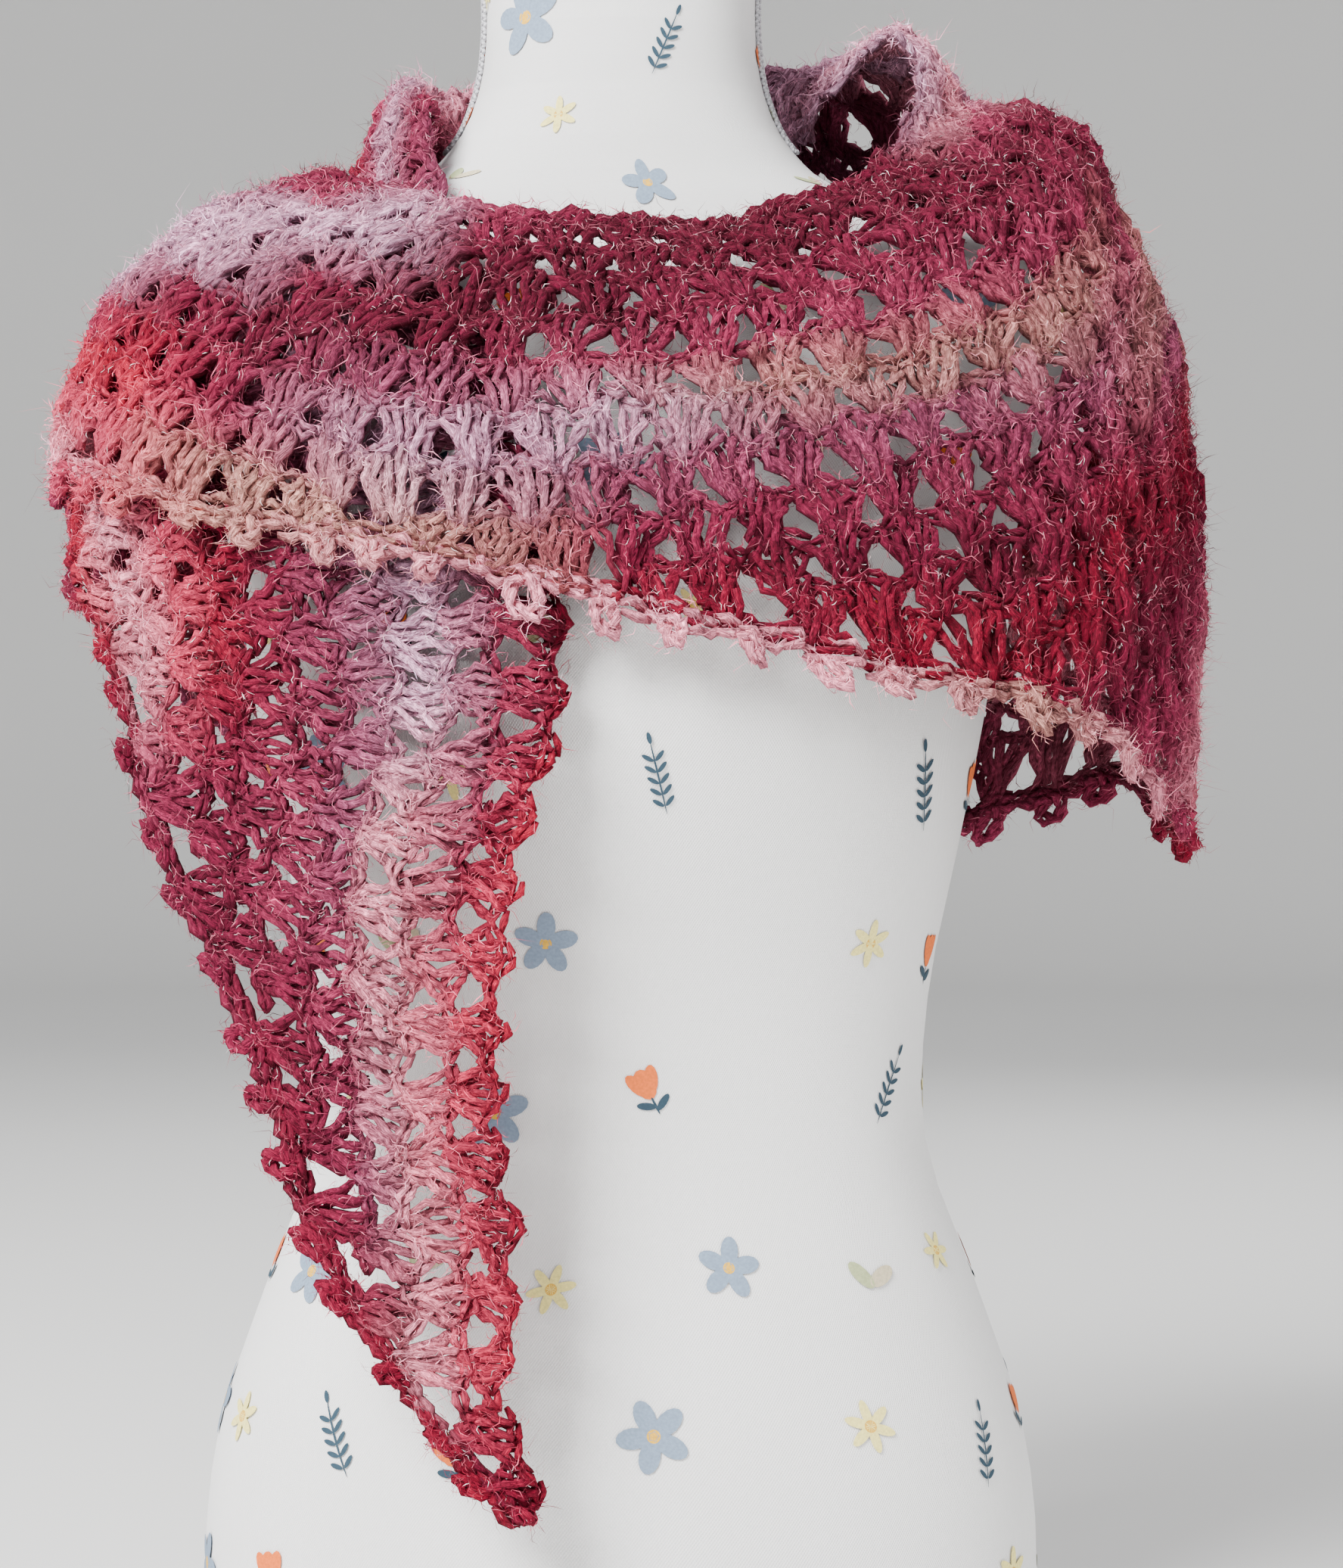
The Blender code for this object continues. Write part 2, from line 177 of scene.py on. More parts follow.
# The yarn's dye colours
YARN_COLOURS = {
    "burgundy": "48071D",
    "wine": "560A24",
    "raspberry": "701A36",
    "rose": "8E304D",
    "mauve": "843F5A",
    "lilac": "C696B0",
    "blush": "E08C9C",
    "beige": "A8766C",
    "salmon": "BE3E56",
    "coral": "A81832",
    "crimson": "7E0824",
}

# How the dye runs over the shawl: at each place along the straight edge, the colours out from that edge, each
# with its distance in mm
DYE_RUNS = {
    0.02: "0 crimson, 30 raspberry",
    0.06: "0 coral, 20 salmon, 34 blush, 50 crimson",
    0.12: "0 crimson, 18 salmon, 36 blush, 50 mauve, 66 raspberry, 100 crimson",
    0.20: "0 coral, 22 salmon, 42 blush, 58 rose, 80 raspberry, 120 wine, 150 raspberry",
    0.27: "0 coral, 22 rose, 44 blush, 64 mauve, 85 rose, 110 raspberry, 135 raspberry, 158 rose, 180 wine",
    0.32: "0 crimson, 20 rose, 46 lilac, 66 mauve, 90 raspberry, 122 crimson, 142 salmon, 165 blush, 190 crimson",
    0.38: ("0 wine, 20 raspberry, 46 lilac, 70 mauve, 95 raspberry, 125 crimson, 150 salmon, 178 blush, 205 coral, "
           "225 wine"),
    0.50: "0 mauve, 30 rose, 60 lilac, 90 rose, 120 wine, 150 rose, 180 blush, 215 coral, 260 wine",
    0.56: ("0 wine, 20 raspberry, 40 lilac, 60 rose, 80 crimson, 110 burgundy, 150 raspberry, 190 mauve, 230 lilac, "
           "270 rose, 310 wine"),
    0.75: ("0 rose, 35 blush, 65 mauve, 105 raspberry, 150 wine, 185 mauve, 215 lilac, 245 rose, 285 crimson, "
           "320 salmon, 350 blush, 385 raspberry, 420 wine"),
    1.00: ("0 lilac, 40 lilac, 70 rose, 105 mauve, 145 burgundy, 180 raspberry, 205 beige, 235 mauve, 275 crimson, "
           "310 coral, 340 blush, 375 rose, 430 burgundy"),
    1.14: ("0 lilac, 25 blush, 45 lilac, 65 blush, 85 raspberry, 110 burgundy, 160 wine, 190 rose, 215 beige, "
           "245 mauve, 285 crimson, 330 rose, 370 blush, 430 burgundy"),
    1.20: ("0 lilac, 25 blush, 45 rose, 70 burgundy, 115 wine, 140 rose, 165 beige, 190 mauve, 225 crimson, "
           "260 wine, 295 rose, 340 blush, 385 crimson"),
    1.27: ("0 wine, 30 burgundy, 75 wine, 105 rose, 125 beige, 150 mauve, 180 raspberry, 205 crimson, 235 wine, "
           "270 raspberry, 310 rose"),
    1.32: ("0 burgundy, 45 burgundy, 70 raspberry, 95 rose, 116 beige, 135 mauve, 165 raspberry, 195 wine, "
           "225 crimson, 262 raspberry"),
    1.37: ("0 burgundy, 50 burgundy, 78 raspberry, 94 rose, 108 beige, 126 mauve, 150 raspberry, 176 wine, "
           "205 crimson"),
    1.42: ("0 raspberry, 22 burgundy, 75 burgundy, 98 rose, 114 lilac, 130 mauve, 155 raspberry, 180 crimson, "
           "200 rose"),
    1.47: "0 rose, 28 raspberry, 50 burgundy, 86 burgundy, 108 mauve, 128 lilac, 150 beige, 175 beige",
    1.52: "0 rose, 18 lilac, 50 lilac, 70 raspberry, 96 burgundy, 118 raspberry, 136 rose, 154 beige, 180 beige",
    1.57: "0 wine, 30 rose, 48 lilac, 78 lilac, 98 raspberry, 118 crimson, 136 coral, 160 salmon, 190 blush",
    1.64: "0 burgundy, 40 raspberry, 66 lilac, 100 lilac, 118 rose, 135 coral, 155 salmon, 175 blush, 200 rose",
    1.85: "0 burgundy, 35 raspberry, 65 lilac, 92 rose, 120 crimson, 150 rose",
    2.06: "0 crimson, 30 rose",
}
# The picot edging's colours, each with its place along the straight edge in mm
HEM_DYE = ("0 crimson, 200 raspberry, 270 wine, 330 crimson, 400 wine, 550 rose, 700 mauve, 850 blush, 1000 rose, "
           "1100 wine, 1180 crimson, 1230 rose, 1270 blush, 1330 beige, 1380 blush, 1450 blush, 1520 beige, "
           "1580 salmon, 1640 rose, 1800 raspberry, 2060 crimson")

# One fan of double crochet: posts from foot to head, in shares of a repeat
FAN_POSTS = 5
FAN_FOOT = 0.082
FAN_HEAD = 0.230
FAN_BULGE = 1.05
FAN_TILT = 0.09
POST_POINTS = 6
POST_TURNS = 1.1
POST_LIFT = 0.0009
SCALLOP = 0.0030
CURL = 0.0012
EDGE_INSET = 0.0030
# Where the first fan stands in even and in odd rows, and where a row's border runs out into the hem, in rows
FIRST_FANS = (0.5, 0.95)
RUN_OUT_FROM = 0.35
RUN_OUT_OVER = 0.4

# One chain stitch: at its start, middle and end, its place in stitches and its arms' reach, rise and thickness
STITCH_LENGTH = 0.0068
CHAIN_PLACE = np.array([-0.10, 0.55, 1.25])
CHAIN_ASIDE = np.array([0.2, 1.9, 1.4]) * 0.001
CHAIN_RISE = np.array([-0.6, 1.0, -0.2]) * 0.001
CHAIN_SWELL = np.array([0.75, 1.25, 0.75])
BORDER_SIZE = 0.86
HEM_CHAIN_SIZE = 0.9

# One picot: a loop of chain on a chain of its own
PICOT_LINE = 0.0030
PICOT_STEM = 0.0036
PICOT_SIZE = 0.0040
PICOT_POINTS = 13
PICOT_YARN = 1.1

# Painted shade: how deep yarn lies in the cloth where its colour is painted darkest, and how dark
PAINTED_SHADE_DEPTH = 0.0016
PAINTED_SHADE_RANGE = 0.0040
PAINTED_SHADE_DARKEST = 0.46
PAINTED_SHADE_GAIN = 0.58

# Loose hair: the painted highlight that its shine adds to the dye, and where its elbow and its tip lie in shares of
# its length
HAIR_PAINTED_SHINE = np.array([0.42, 0.13, 0.17])
HAIR_ELBOW = 0.60
HAIR_REACH = 0.75
HAIR_DROOP = 0.70

# How uneven the handwork is, as standard deviations: shares of what each changes, or metres
UNEVEN = {
    "tilt": 0.035, "spread": 0.07, "head": 0.018, "turns": 0.15, "offset": 0.12, "place": 0.02, "reach": 0.02,
    "lift": 0.0005, "thick": 0.08, "dye": 0.13, "chain_place": 0.06, "chain_aside": 0.0010, "chain_arm": 0.0006,
    "chain_rise": 0.0007, "chain_dye": 0.09, "picot_place": 0.0022, "picot_size": 0.16, "picot_width": 0.1,
    "picot_lean": 0.25, "picot_rise": 0.0006, "picot_dye": 0.06,
}

SEED = 11
rng = np.random.default_rng(SEED)
# Soft waves, 90 to 420 radians a metre, by which tension pulls the stitches out of line
WAVE_COUNT = 10
WAVE_PULL = 0.0105
WAVES = rng.normal(0, 1, (WAVE_COUNT, 3))
WAVES *= (np.geomspace(90, 420, WAVE_COUNT) / np.linalg.norm(WAVES, axis=1))[:, None]
WAVE_TURNS = rng.normal(0, 1, (WAVE_COUNT, 3))


def uneven(name, *shape):
    """Random unevenness of one kind."""
    return rng.normal(0, UNEVEN[name], shape)


# Colour and material helpers

def linear(code):
    """Linear red, green and blue from an sRGB hex colour."""
    values = [int(code[i:i + 2], 16) / 255 for i in (0, 2, 4)]
    return [v / 12.92 if v <= 0.04045 else ((v + 0.055) / 1.055) ** 2.4 for v in values]


def add_node(tree, kind, settings=None, **links):
    """Add a shader node with its settings, fill its inputs with values or sockets, and give its first output."""
    made = tree.nodes.new("ShaderNode" + kind)
    for name, value in (settings or {}).items():
        setattr(made, name, value)
    for name, value in links.items():
        socket = made.inputs[int(name[1:])] if name[1:].isdigit() else made.inputs[name.replace("_", " ")]
        if isinstance(value, bpy.types.NodeSocket):
            tree.links.new(value, socket)
        else:
            socket.default_value = value
    return made.outputs[0] if made.outputs else None


def calculate(tree, operation, *values):
    """The result of a sum on up to three values or sockets."""
    return add_node(tree, "Math", {"operation": operation}, **{f"i{k}": value for k, value in enumerate(values)})


def remap(tree, value, low, high, new_low, new_high):
    """A value moved from one range to another."""
    return add_node(tree, "MapRange", i0=value, i1=low, i2=high, i3=new_low, i4=new_high)


def toned(tree, colour, tone):
    """A colour made darker or paler by a tone."""
    return add_node(tree, "VectorMath", {"operation": "SCALE"}, i0=colour, Scale=tone)


def new_material(name):
    """An empty node material and its tree."""
    material = bpy.data.materials.new(name)
    material.use_nodes = True
    material.node_tree.nodes.clear()
    return material, material.node_tree


def finish_material(tree, colour, roughness, **surface):
    """End a material's tree with its surface."""
    shader = add_node(tree, "BsdfPrincipled", Base_Color=colour, Roughness=roughness, **surface)
    add_node(tree, "OutputMaterial", Surface=shader)


def yarn_material(settings):
    """Mohair and acrylic yarn, two plies spun soft: matt and hairy."""
    material, tree = new_material("mohair_yarn_two_ply")
    # The dye attribute carries the yarn's dye, with painted shade where strands lie deep and painted highlights on
    # the hairs
    dye = add_node(tree, "VertexColor", {"layer_name": "dye"})
    place = add_node(tree, "UVMap", {"uv_map": "yarn"})
    lay, turn = add_node(tree, "SeparateXYZ", i0=place).node.outputs[:2]
    # The ply twist, one turn in about 7 mm of yarn
    spun = calculate(tree, "MULTIPLY_ADD", lay, 1 / settings.ply_twist, turn)
    ply = calculate(tree, "SINE", calculate(tree, "MULTIPLY", spun, 4 * math.pi))
    # Loose hair along the yarn, drawn coarser than its 0.05 mm so that it shows: 6 mm long, a ninth of a turn wide
    stretched = add_node(tree, "Mapping", i0=place, Scale=(165.0, 9.0, 1.0))
    hair = add_node(tree, "TexNoise", {"noise_dimensions": "2D"}, Vector=stretched, Scale=1.0, Detail=3.0,
                    Roughness=0.75, Distortion=2.0)
    spots = add_node(tree, "TexCoord").node.outputs["Object"]
    mottle = add_node(tree, "TexNoise", Vector=spots, Scale=170.0, Detail=2.0)
    shade = remap(tree, hair, 0.34, 0.66, 0.28, 2.05)
    blotch = remap(tree, mottle, 0.3, 0.7, 0.86, 1.14)
    # Painted shade in the groove between the two plies: the colour darkens toward the groove
    ply_groove_shade = remap(tree, ply, -1.0, 0.4, 0.86, 1.0)
    tone = calculate(tree, "MULTIPLY", calculate(tree, "MULTIPLY", shade, blotch), ply_groove_shade)
    height = calculate(tree, "MULTIPLY_ADD", ply, 0.16, hair)
    bump = add_node(tree, "Bump", Height=height, Strength=1.0, Distance=0.0013)
    finish_material(tree, toned(tree, dye, tone), 0.92, Normal=bump, Specular_IOR_Level=0.10, Sheen_Weight=0.25,
                    Sheen_Tint=(*linear("D4506E"), 1.0))
    return material


def halo_material():
    """Loose mohair hair and the binder thread round the yarn: matt, in the yarn's colour or paler, with painted
    highlights in the colour for the hairs' shine and the binder's glints.
    """
    material, tree = new_material("mohair_loose_hair")
    finish_material(tree, add_node(tree, "VertexColor", {"layer_name": "dye"}), 0.8, Specular_IOR_Level=0.12)
    return material


def cotton_material(settings):
    """Plain-weave cotton stretched over the form: matt, off-white, threads 0.45 mm apart."""
    material, tree = new_material("plain_weave_cotton")
    place = add_node(tree, "UVMap", {"uv_map": "skin"})
    # Threads are drawn 0.9 mm apart, twice the real spacing, so that they show in the render
    waves = [calculate(tree, "SINE", calculate(tree, "MULTIPLY", axis, 2 * math.pi / settings.thread_pitch))
             for axis in add_node(tree, "SeparateXYZ", i0=place).node.outputs[:2]]
    weave = calculate(tree, "MULTIPLY", *waves)
    slub = add_node(tree, "TexNoise", Vector=place, Scale=420.0, Detail=3.0)
    soft = add_node(tree, "TexNoise", Vector=place, Scale=14.0, Detail=2.0)
    height = calculate(tree, "MULTIPLY_ADD", slub, 1.4, weave)
    # The colour darkens where the weave and the slubs lie low, which is painted shade; the soft noise adds uneven
    # tone
    tone = calculate(tree, "MULTIPLY", remap(tree, height, -0.6, 2.0, 0.90, 1.04),
                     remap(tree, soft, 0.3, 0.7, 0.97, 1.02))
    bump = add_node(tree, "Bump", Height=height, Strength=0.5, Distance=0.0002)
    finish_material(tree, toned(tree, linear(settings.cotton_hex), tone), 0.85, Normal=bump,
                    Specular_IOR_Level=0.25, Sheen_Weight=0.1)
    return material


def print_material():
    """Pigment print on the cotton: the cloth's own matt surface in the motif's colours."""
    material, tree = new_material("pigment_print_on_cotton")
    ink = add_node(tree, "VertexColor", {"layer_name": "ink"})
    spots = add_node(tree, "TexCoord").node.outputs["Object"]
    grain = add_node(tree, "TexNoise", Vector=spots, Scale=900.0, Detail=2.0)
    finish_material(tree, toned(tree, ink, remap(tree, grain, 0.3, 0.7, 0.88, 1.12)), 0.85, Specular_IOR_Level=0.25)
    return material


def braid_material(settings):
    """Rayon gimp braid: silver-white, with a soft silk shine along each strand."""
    material, tree = new_material("rayon_gimp_braid")
    place = add_node(tree, "UVMap", {"uv_map": "yarn"})
    lay, turn = add_node(tree, "SeparateXYZ", i0=place).node.outputs[:2]
    # The gimp's winding, one turn in 1.2 mm
    wound = calculate(tree, "MULTIPLY_ADD", lay, 1 / 0.0012, turn)
    ridge = calculate(tree, "SINE", calculate(tree, "MULTIPLY", wound, 2 * math.pi))
    # Painted shade in the grooves between the gimp's windings: the colour darkens toward each groove
    colour = toned(tree, linear(settings.braid_hex), remap(tree, ridge, -1.0, 1.0, 0.7, 1.0))
    bump = add_node(tree, "Bump", Height=ridge, Strength=0.6, Distance=0.0002)
    finish_material(tree, colour, 0.38, Normal=bump, Sheen_Weight=0.3)
    return material


# The drape

def smooth(table, column, x):
    """Read a column of a table as a smooth curve over the table's first column."""
    keys = np.array([row[0] for row in table])
    values = np.array([row[column] for row in table])
    slopes = np.gradient(values, keys)
    x = np.clip(x, keys[0], keys[-1])
    i = np.clip(np.searchsorted(keys, x) - 1, 0, len(keys) - 2)
    span = keys[i + 1] - keys[i]
    u = (x - keys[i]) / span
    start = values[i] * (1 + 2 * u) * (1 - u) ** 2 + slopes[i] * span * u * (1 - u) ** 2
    end = values[i + 1] * u * u * (3 - 2 * u) - slopes[i + 1] * span * u * u * (1 - u)
    return start + end


def oval(angle, left, right, front, back):
    """Point of a rounded oblong at a wind angle in degrees."""
    across = np.sin(np.radians(angle))
    ahead = np.cos(np.radians(angle))
    side = np.where(across > 0, left, right)
    depth = np.where(ahead > 0, front, back)
    x = -side * across * (1 + SQUARENESS * ahead ** 2)
    y = -depth * ahead * (1 + SQUARENESS * across ** 2)
    return x, y


def drape_point(angle, ring):
    """Point of the draped surface at a wind angle and a ring."""
    left, right, front, back = (smooth(DRAPE_RINGS, column, ring) for column in range(1, 5))
    z_front, z_left, z_right, z_back = (smooth(DRAPE_RINGS, column, ring) for column in range(5, 9))
    x, y = oval(angle, left, right, front, back)
    across = np.sin(np.radians(angle))
    ahead = np.cos(np.radians(angle))
    z_side = np.where(across > 0, z_left, z_right)
    z_end = np.where(ahead > 0, z_front, z_back)
    z = z_end * ahead ** 2 + z_side * across ** 2
    return np.stack([x, y, z], axis=-1)


def fold_height(angle, ring):
    """How far the soft folds lift the cloth at a place on the drape."""
    turned = np.mod(angle, 360.0)
    rise = np.clip((ring - FOLD_STARTS) / (FOLD_FULL - FOLD_STARTS), 0, 1)
    rise = rise * rise * (3 - 2 * rise)
    height = np.zeros_like(turned)
    for centre, half_width, depth in FOLDS:
        height = height + depth * np.exp(-((turned - centre) / half_width) ** 2)
    return height * rise


def shawl_point(along, across, raised=0.0):
    """Point and normal of the shawl's middle surface, raised off it by a distance."""
    along = np.asarray(along, dtype=float)
    across = np.asarray(across, dtype=float)
    edge_angle, edge_ring, hem_angle, hem_ring, lift = (
        smooth(SHAWL_STATIONS, column, along) for column in range(1, 6))
    angle = edge_angle + (hem_angle - edge_angle) * across
    ring = np.clip(edge_ring + (hem_ring - edge_ring) * across, 0, RING_LAST)
    right = drape_point(angle - ANGLE_STEP, ring)
    left = drape_point(angle + ANGLE_STEP, ring)
    above = drape_point(angle, ring - RING_STEP)
    below = drape_point(angle, ring + RING_STEP)
    normal = np.cross(left - right, below - above)
    normal /= np.linalg.norm(normal, axis=-1, keepdims=True)
    height = lift + fold_height(angle, ring) + raised
    return drape_point(angle, ring) + normal * height[..., None], normal


def path_lengths(points):
    """Distance from the first point to each point of a path."""
    return np.append(0, np.cumsum(np.linalg.norm(np.diff(points, axis=0), axis=1)))


FINE_ALONG = np.linspace(0, SHAWL_LENGTH, 1031)
RIB = np.linspace(0, 1, 60)
FINE_WIDTH = np.array([
    path_lengths(shawl_point(np.full(60, along), RIB)[0])[-1] for along in FINE_ALONG])


def width_at(along):
    """Width of the shawl at a place along its straight edge."""
    return np.interp(along, FINE_ALONG, FINE_WIDTH)


def hem_at(along):
    """Distance from the straight edge to where the picot edging starts."""
    return width_at(along) - PICOT_REACH


def cloth_point(along, distance, height=0.0):
    """Point and normal at a distance along and from the straight edge, raised off the middle surface."""
    return shawl_point(along, distance / width_at(along), height)


def dye_stops(chart):
    """Places in metres and linear colours of a dye chart."""
    stops = [stop.split() for stop in chart.split(", ")]
    return [int(place) / 1000 for place, _ in stops], np.array([linear(YARN_COLOURS[name]) for _, name in stops])


def dye_between(places, stops):
    """The colours at places between the stops of a dye chart."""
    keys, tints = stops
    return np.stack([np.interp(places, keys, tints[:, k]) for k in range(3)], axis=-1)


def dye_colour(along, distance):
    """The yarn's linear colour at a place on the shawl."""
    tints = np.stack([dye_between(distance, dye_stops(chart)) for chart in DYE_RUNS.values()])
    keys = np.array(list(DYE_RUNS))
    i = np.clip(np.searchsorted(keys, along) - 1, 0, len(keys) - 2)
    share = np.clip((along - keys[i]) / (keys[i + 1] - keys[i]), 0, 1)[..., None]
    first = np.take_along_axis(tints, i[None, ..., None], axis=0)[0]
    second = np.take_along_axis(tints, i[None, ..., None] + 1, axis=0)[0]
    return first * (1 - share) + second * share


def hem_colour(along, _=None):
    """The picot edging's linear colour along the hem."""
    return dye_between(along, dye_stops(HEM_DYE))


# Strands of yarn

class Skein:
    """Gathers strands of yarn and makes them one mesh of closed tubes."""

    def __init__(self):
        self.points = []
        self.corners = []
        self.starts = []
        self.uvs = []
        self.dyes = []
        self.roots = []
        self.vertex_count = 0
        self.corner_count = 0

    def add(self, path, up, radius, dye, sides=3):
        """Add tubes along paths of n strands and p points, with their radii and colours."""
        n, p = path.shape[:2]
        tangent = np.gradient(path, axis=1)
        tangent /= np.linalg.norm(tangent, axis=-1, keepdims=True) + 1e-12
        side = np.cross(tangent, up)
        side /= np.linalg.norm(side, axis=-1, keepdims=True) + 1e-12
        top = np.cross(side, tangent)
        self.roots.append([part[:, :-1].reshape(-1, 3) for part in (path, tangent, side, top, dye)]
                          + [np.diff(path, axis=1).reshape(-1, 3)])
        turns = 2 * math.pi * (np.arange(sides) + 0.5) / sides
        spokes = (side[:, :, None] * np.cos(turns)[None, None, :, None]
                  + top[:, :, None] * np.sin(turns)[None, None, :, None])
        rim = path[:, :, None] + spokes * radius[:, :, None, None]
        self.points.append(rim.reshape(-1, 3))
        self.dyes.append(np.repeat(dye.reshape(-1, 3), sides, axis=0))
        length = np.concatenate([np.zeros((n, 1)), np.cumsum(
            np.linalg.norm(np.diff(path, axis=1), axis=-1), axis=1)], axis=1)
        length += rng.uniform(0, 3, (n, 1))
        index = self.vertex_count + np.arange(n * p * sides).reshape(n, p, sides)
        after = np.roll(index, -1, axis=2)
        quads = np.stack([index[:, :-1], after[:, :-1], after[:, 1:], index[:, 1:]], axis=-1)
        low = np.broadcast_to(np.arange(sides) / sides, (n, p - 1, sides))
        high = low + 1 / sides
        near = np.broadcast_to(length[:, :-1, None], (n, p - 1, sides))
        far = np.broadcast_to(length[:, 1:, None], (n, p - 1, sides))
        uv = np.stack([np.stack([near, low], -1), np.stack([near, high], -1),
                       np.stack([far, high], -1), np.stack([far, low], -1)], axis=-2)
        self.corners.append(quads.reshape(-1))
        self.uvs.append(uv.reshape(-1, 2))
        count = n * (p - 1) * sides
        self.starts.append(self.corner_count + 4 * np.arange(count))
        self.corner_count += 4 * count
        for ring, order in ((0, -1), (p - 1, 1)):
            caps = index[:, ring, ::order]
            self.corners.append(caps.reshape(-1))
            cap_uv = np.stack([np.repeat(length[:, ring], sides), np.tile(np.arange(sides) / sides, n)], axis=-1)
            self.uvs.append(cap_uv)
            self.starts.append(self.corner_count + sides * np.arange(n))
            self.corner_count += sides * n
        self.vertex_count += n * p * sides

    def make(self, name, material):
        """The gathered strands as one object."""
        return array_object(name, np.concatenate(self.points), np.concatenate(self.corners),
                            np.concatenate(self.starts), np.concatenate(self.uvs), np.concatenate(self.dyes),
                            material)


def array_object(name, points, corners, starts, uvs, tints, material):
    """An object from arrays of points, face corners and colours, for pieces of thousands of small things."""
    mesh = bpy.data.meshes.new(name)
    mesh.vertices.add(len(points))
    mesh.vertices.foreach_set("co", points.astype(np.float32).ravel())
    mesh.loops.add(len(corners))
    mesh.loops.foreach_set("vertex_index", corners.astype(np.int32))
    mesh.polygons.add(len(starts))
    mesh.polygons.foreach_set("loop_start", starts.astype(np.int32))
    mesh.update(calc_edges=True)
    if uvs is not None:
        mesh.uv_layers.new(name="yarn").data.foreach_set("uv", uvs.astype(np.float32).ravel())
    # The dye attribute holds the dye colours, with the painted shade and painted highlights that the callers add to
    # them
    colours = mesh.color_attributes.new("dye", "FLOAT_COLOR", "POINT")
    rgba = np.concatenate([tints, np.ones((len(tints), 1))], axis=1)
    colours.data.foreach_set("color", rgba.astype(np.float32).ravel())
    mesh.shade_smooth()
    mesh.materials.append(material)
    piece = bpy.data.objects.new(name, mesh)
    bpy.context.scene.collection.objects.link(piece)
    return piece


def blades(start, elbow, tip, half, tints):
    """Thin bent blades of two triangles each: points, triangle corners and colours."""
    middle = (start + 2 * elbow + tip) / 4
    points = np.stack([start, middle - half, middle + half, tip], axis=1)
    corners = 4 * np.arange(len(start))[:, None] + np.array([[0, 1, 2, 2, 1, 3]])
    return points.reshape(-1, 3), corners.ravel(), np.repeat(tints, 4, axis=0)


def make_halo(name, skeins, hairs, material, settings):
    """Hair on the strands: most lies close to them, some stands off, and some is the binder thread, drawn pale with
    painted highlight for its glints.
    """
    roots = [part for skein in skeins for part in skein.roots]
    path, tangent, side, top, dye, step = (np.concatenate(parts) for parts in zip(*roots))
    points, corners, tints = [], [], []
    offset = 0
    kinds = (
        # share of the hairs, drawn width, shortest, longest, least and most lift, sideways curl, is it binder
        (0.70, 0.90, 0.004, 0.0100, 0.14, 0.40, 1.00, False),
        (0.16, 0.46, 0.006, settings.hair_long, 0.25, 0.60, 1.25, False),
        (settings.binder_share, 0.66, 0.0035, 0.0055, 0.16, 0.30, 0.65, True))
    for share, width, short, long, low, high, curl, binder in kinds:
        count = int(hairs * share)
        pick = rng.integers(0, len(path), count)
        # Hairs leave the yarn on the outer side of the cloth, and a little round to its back
        spin = math.pi * rng.uniform(-0.22, 1.22, count)[:, None]
        outward = side[pick] * np.cos(spin) + top[pick] * np.sin(spin)
        leaning = tangent[pick] * rng.choice([-1, 1], count)[:, None]
        bend = np.cross(outward, leaning) * curl * rng.uniform(-1, 1, count)[:, None]
        length = short + (long - short) * rng.random(count)[:, None] ** 2
        lift = rng.uniform(low, high, (count, 1))
        start = path[pick] + step[pick] * rng.random(count)[:, None] + outward * settings.yarn_radius * 0.9
        elbow = start + length * (leaning * HAIR_ELBOW + outward * (lift + 0.10) - bend * 0.15)
        tip = start + length * (leaning * HAIR_REACH + outward * lift * HAIR_DROOP + bend)
        flat = np.cross(tip - start, outward + 0.5 * rng.normal(size=(count, 3)))
        flat /= np.linalg.norm(flat, axis=1, keepdims=True) + 1e-12
        half = flat * width * rng.uniform(0.6, 1.4, (count, 1)) * settings.hair_width / 2
        # Hair colour: the dye, paler or darker at random, plus a painted highlight for the hairs' shine
        yarn_tint = dye[pick] * rng.uniform(0.6, 1.9, (count, 1)) + HAIR_PAINTED_SHINE * rng.random((count, 1)) ** 2.5
        # Binder thread: its pale colour is partly the thread's own and partly painted highlight for its glints
        if binder:
            yarn_tint = np.array(linear(settings.binder_glint_hex)) * rng.uniform(0.5, 1.0, (count, 1))
        made = blades(start, elbow, tip, half, np.clip(yarn_tint, 0, 0.95))
        points.append(made[0])
        corners.append(made[1] + offset)
        tints.append(made[2])
        offset += len(made[0])
    corners = np.concatenate(corners)
    return array_object(name, np.concatenate(points), corners, 3 * np.arange(len(corners) // 3), None,
                        np.concatenate(tints), material)


# The stitches

def border_distance(row, along, pitch):
    """Distance of a row's lower border, which runs out into the hem where the shawl narrows."""
    if row == 0:
        return np.full_like(along, EDGE_INSET)
    hem = hem_at(along)
    share = np.clip((hem - (row + RUN_OUT_FROM) * pitch) / (RUN_OUT_OVER * pitch), 0, 1)
    share = share * share * (3 - 2 * share)
    return hem + (row * pitch - hem) * share


def row_intervals(least_hem):
    """The runs of places along the straight edge where the shawl is at least that wide."""
    wide = hem_at(FINE_ALONG) >= least_hem
    changes = np.flatnonzero(np.diff(np.concatenate([[0], wide.astype(int), [0]])))
    return [FINE_ALONG[start:stop] for start, stop in zip(changes[::2], changes[1::2]) if stop - start > 3]


def fan_rows(settings):
    """All fans, row by row: the row's number, its places by repeat, and each fan's centre."""
    pitch = settings.row_pitch
    rows = int(hem_at(FINE_ALONG).max() / pitch + 0.4)
    for row in range(rows):
        for places in row_intervals((row + 0.6) * pitch if row else 0.0):
            middle = (border_distance(row, places, pitch) + border_distance(row + 1, places, pitch)) / 2
            run = path_lengths(cloth_point(places, middle)[0])
            count = max(1, round(run[-1] / settings.repeat_pitch))
            index = run / run[-1] * count
            centres = np.arange(count) + FIRST_FANS[row % 2]
            yield row, places, index, centres[centres < count + 0.2]


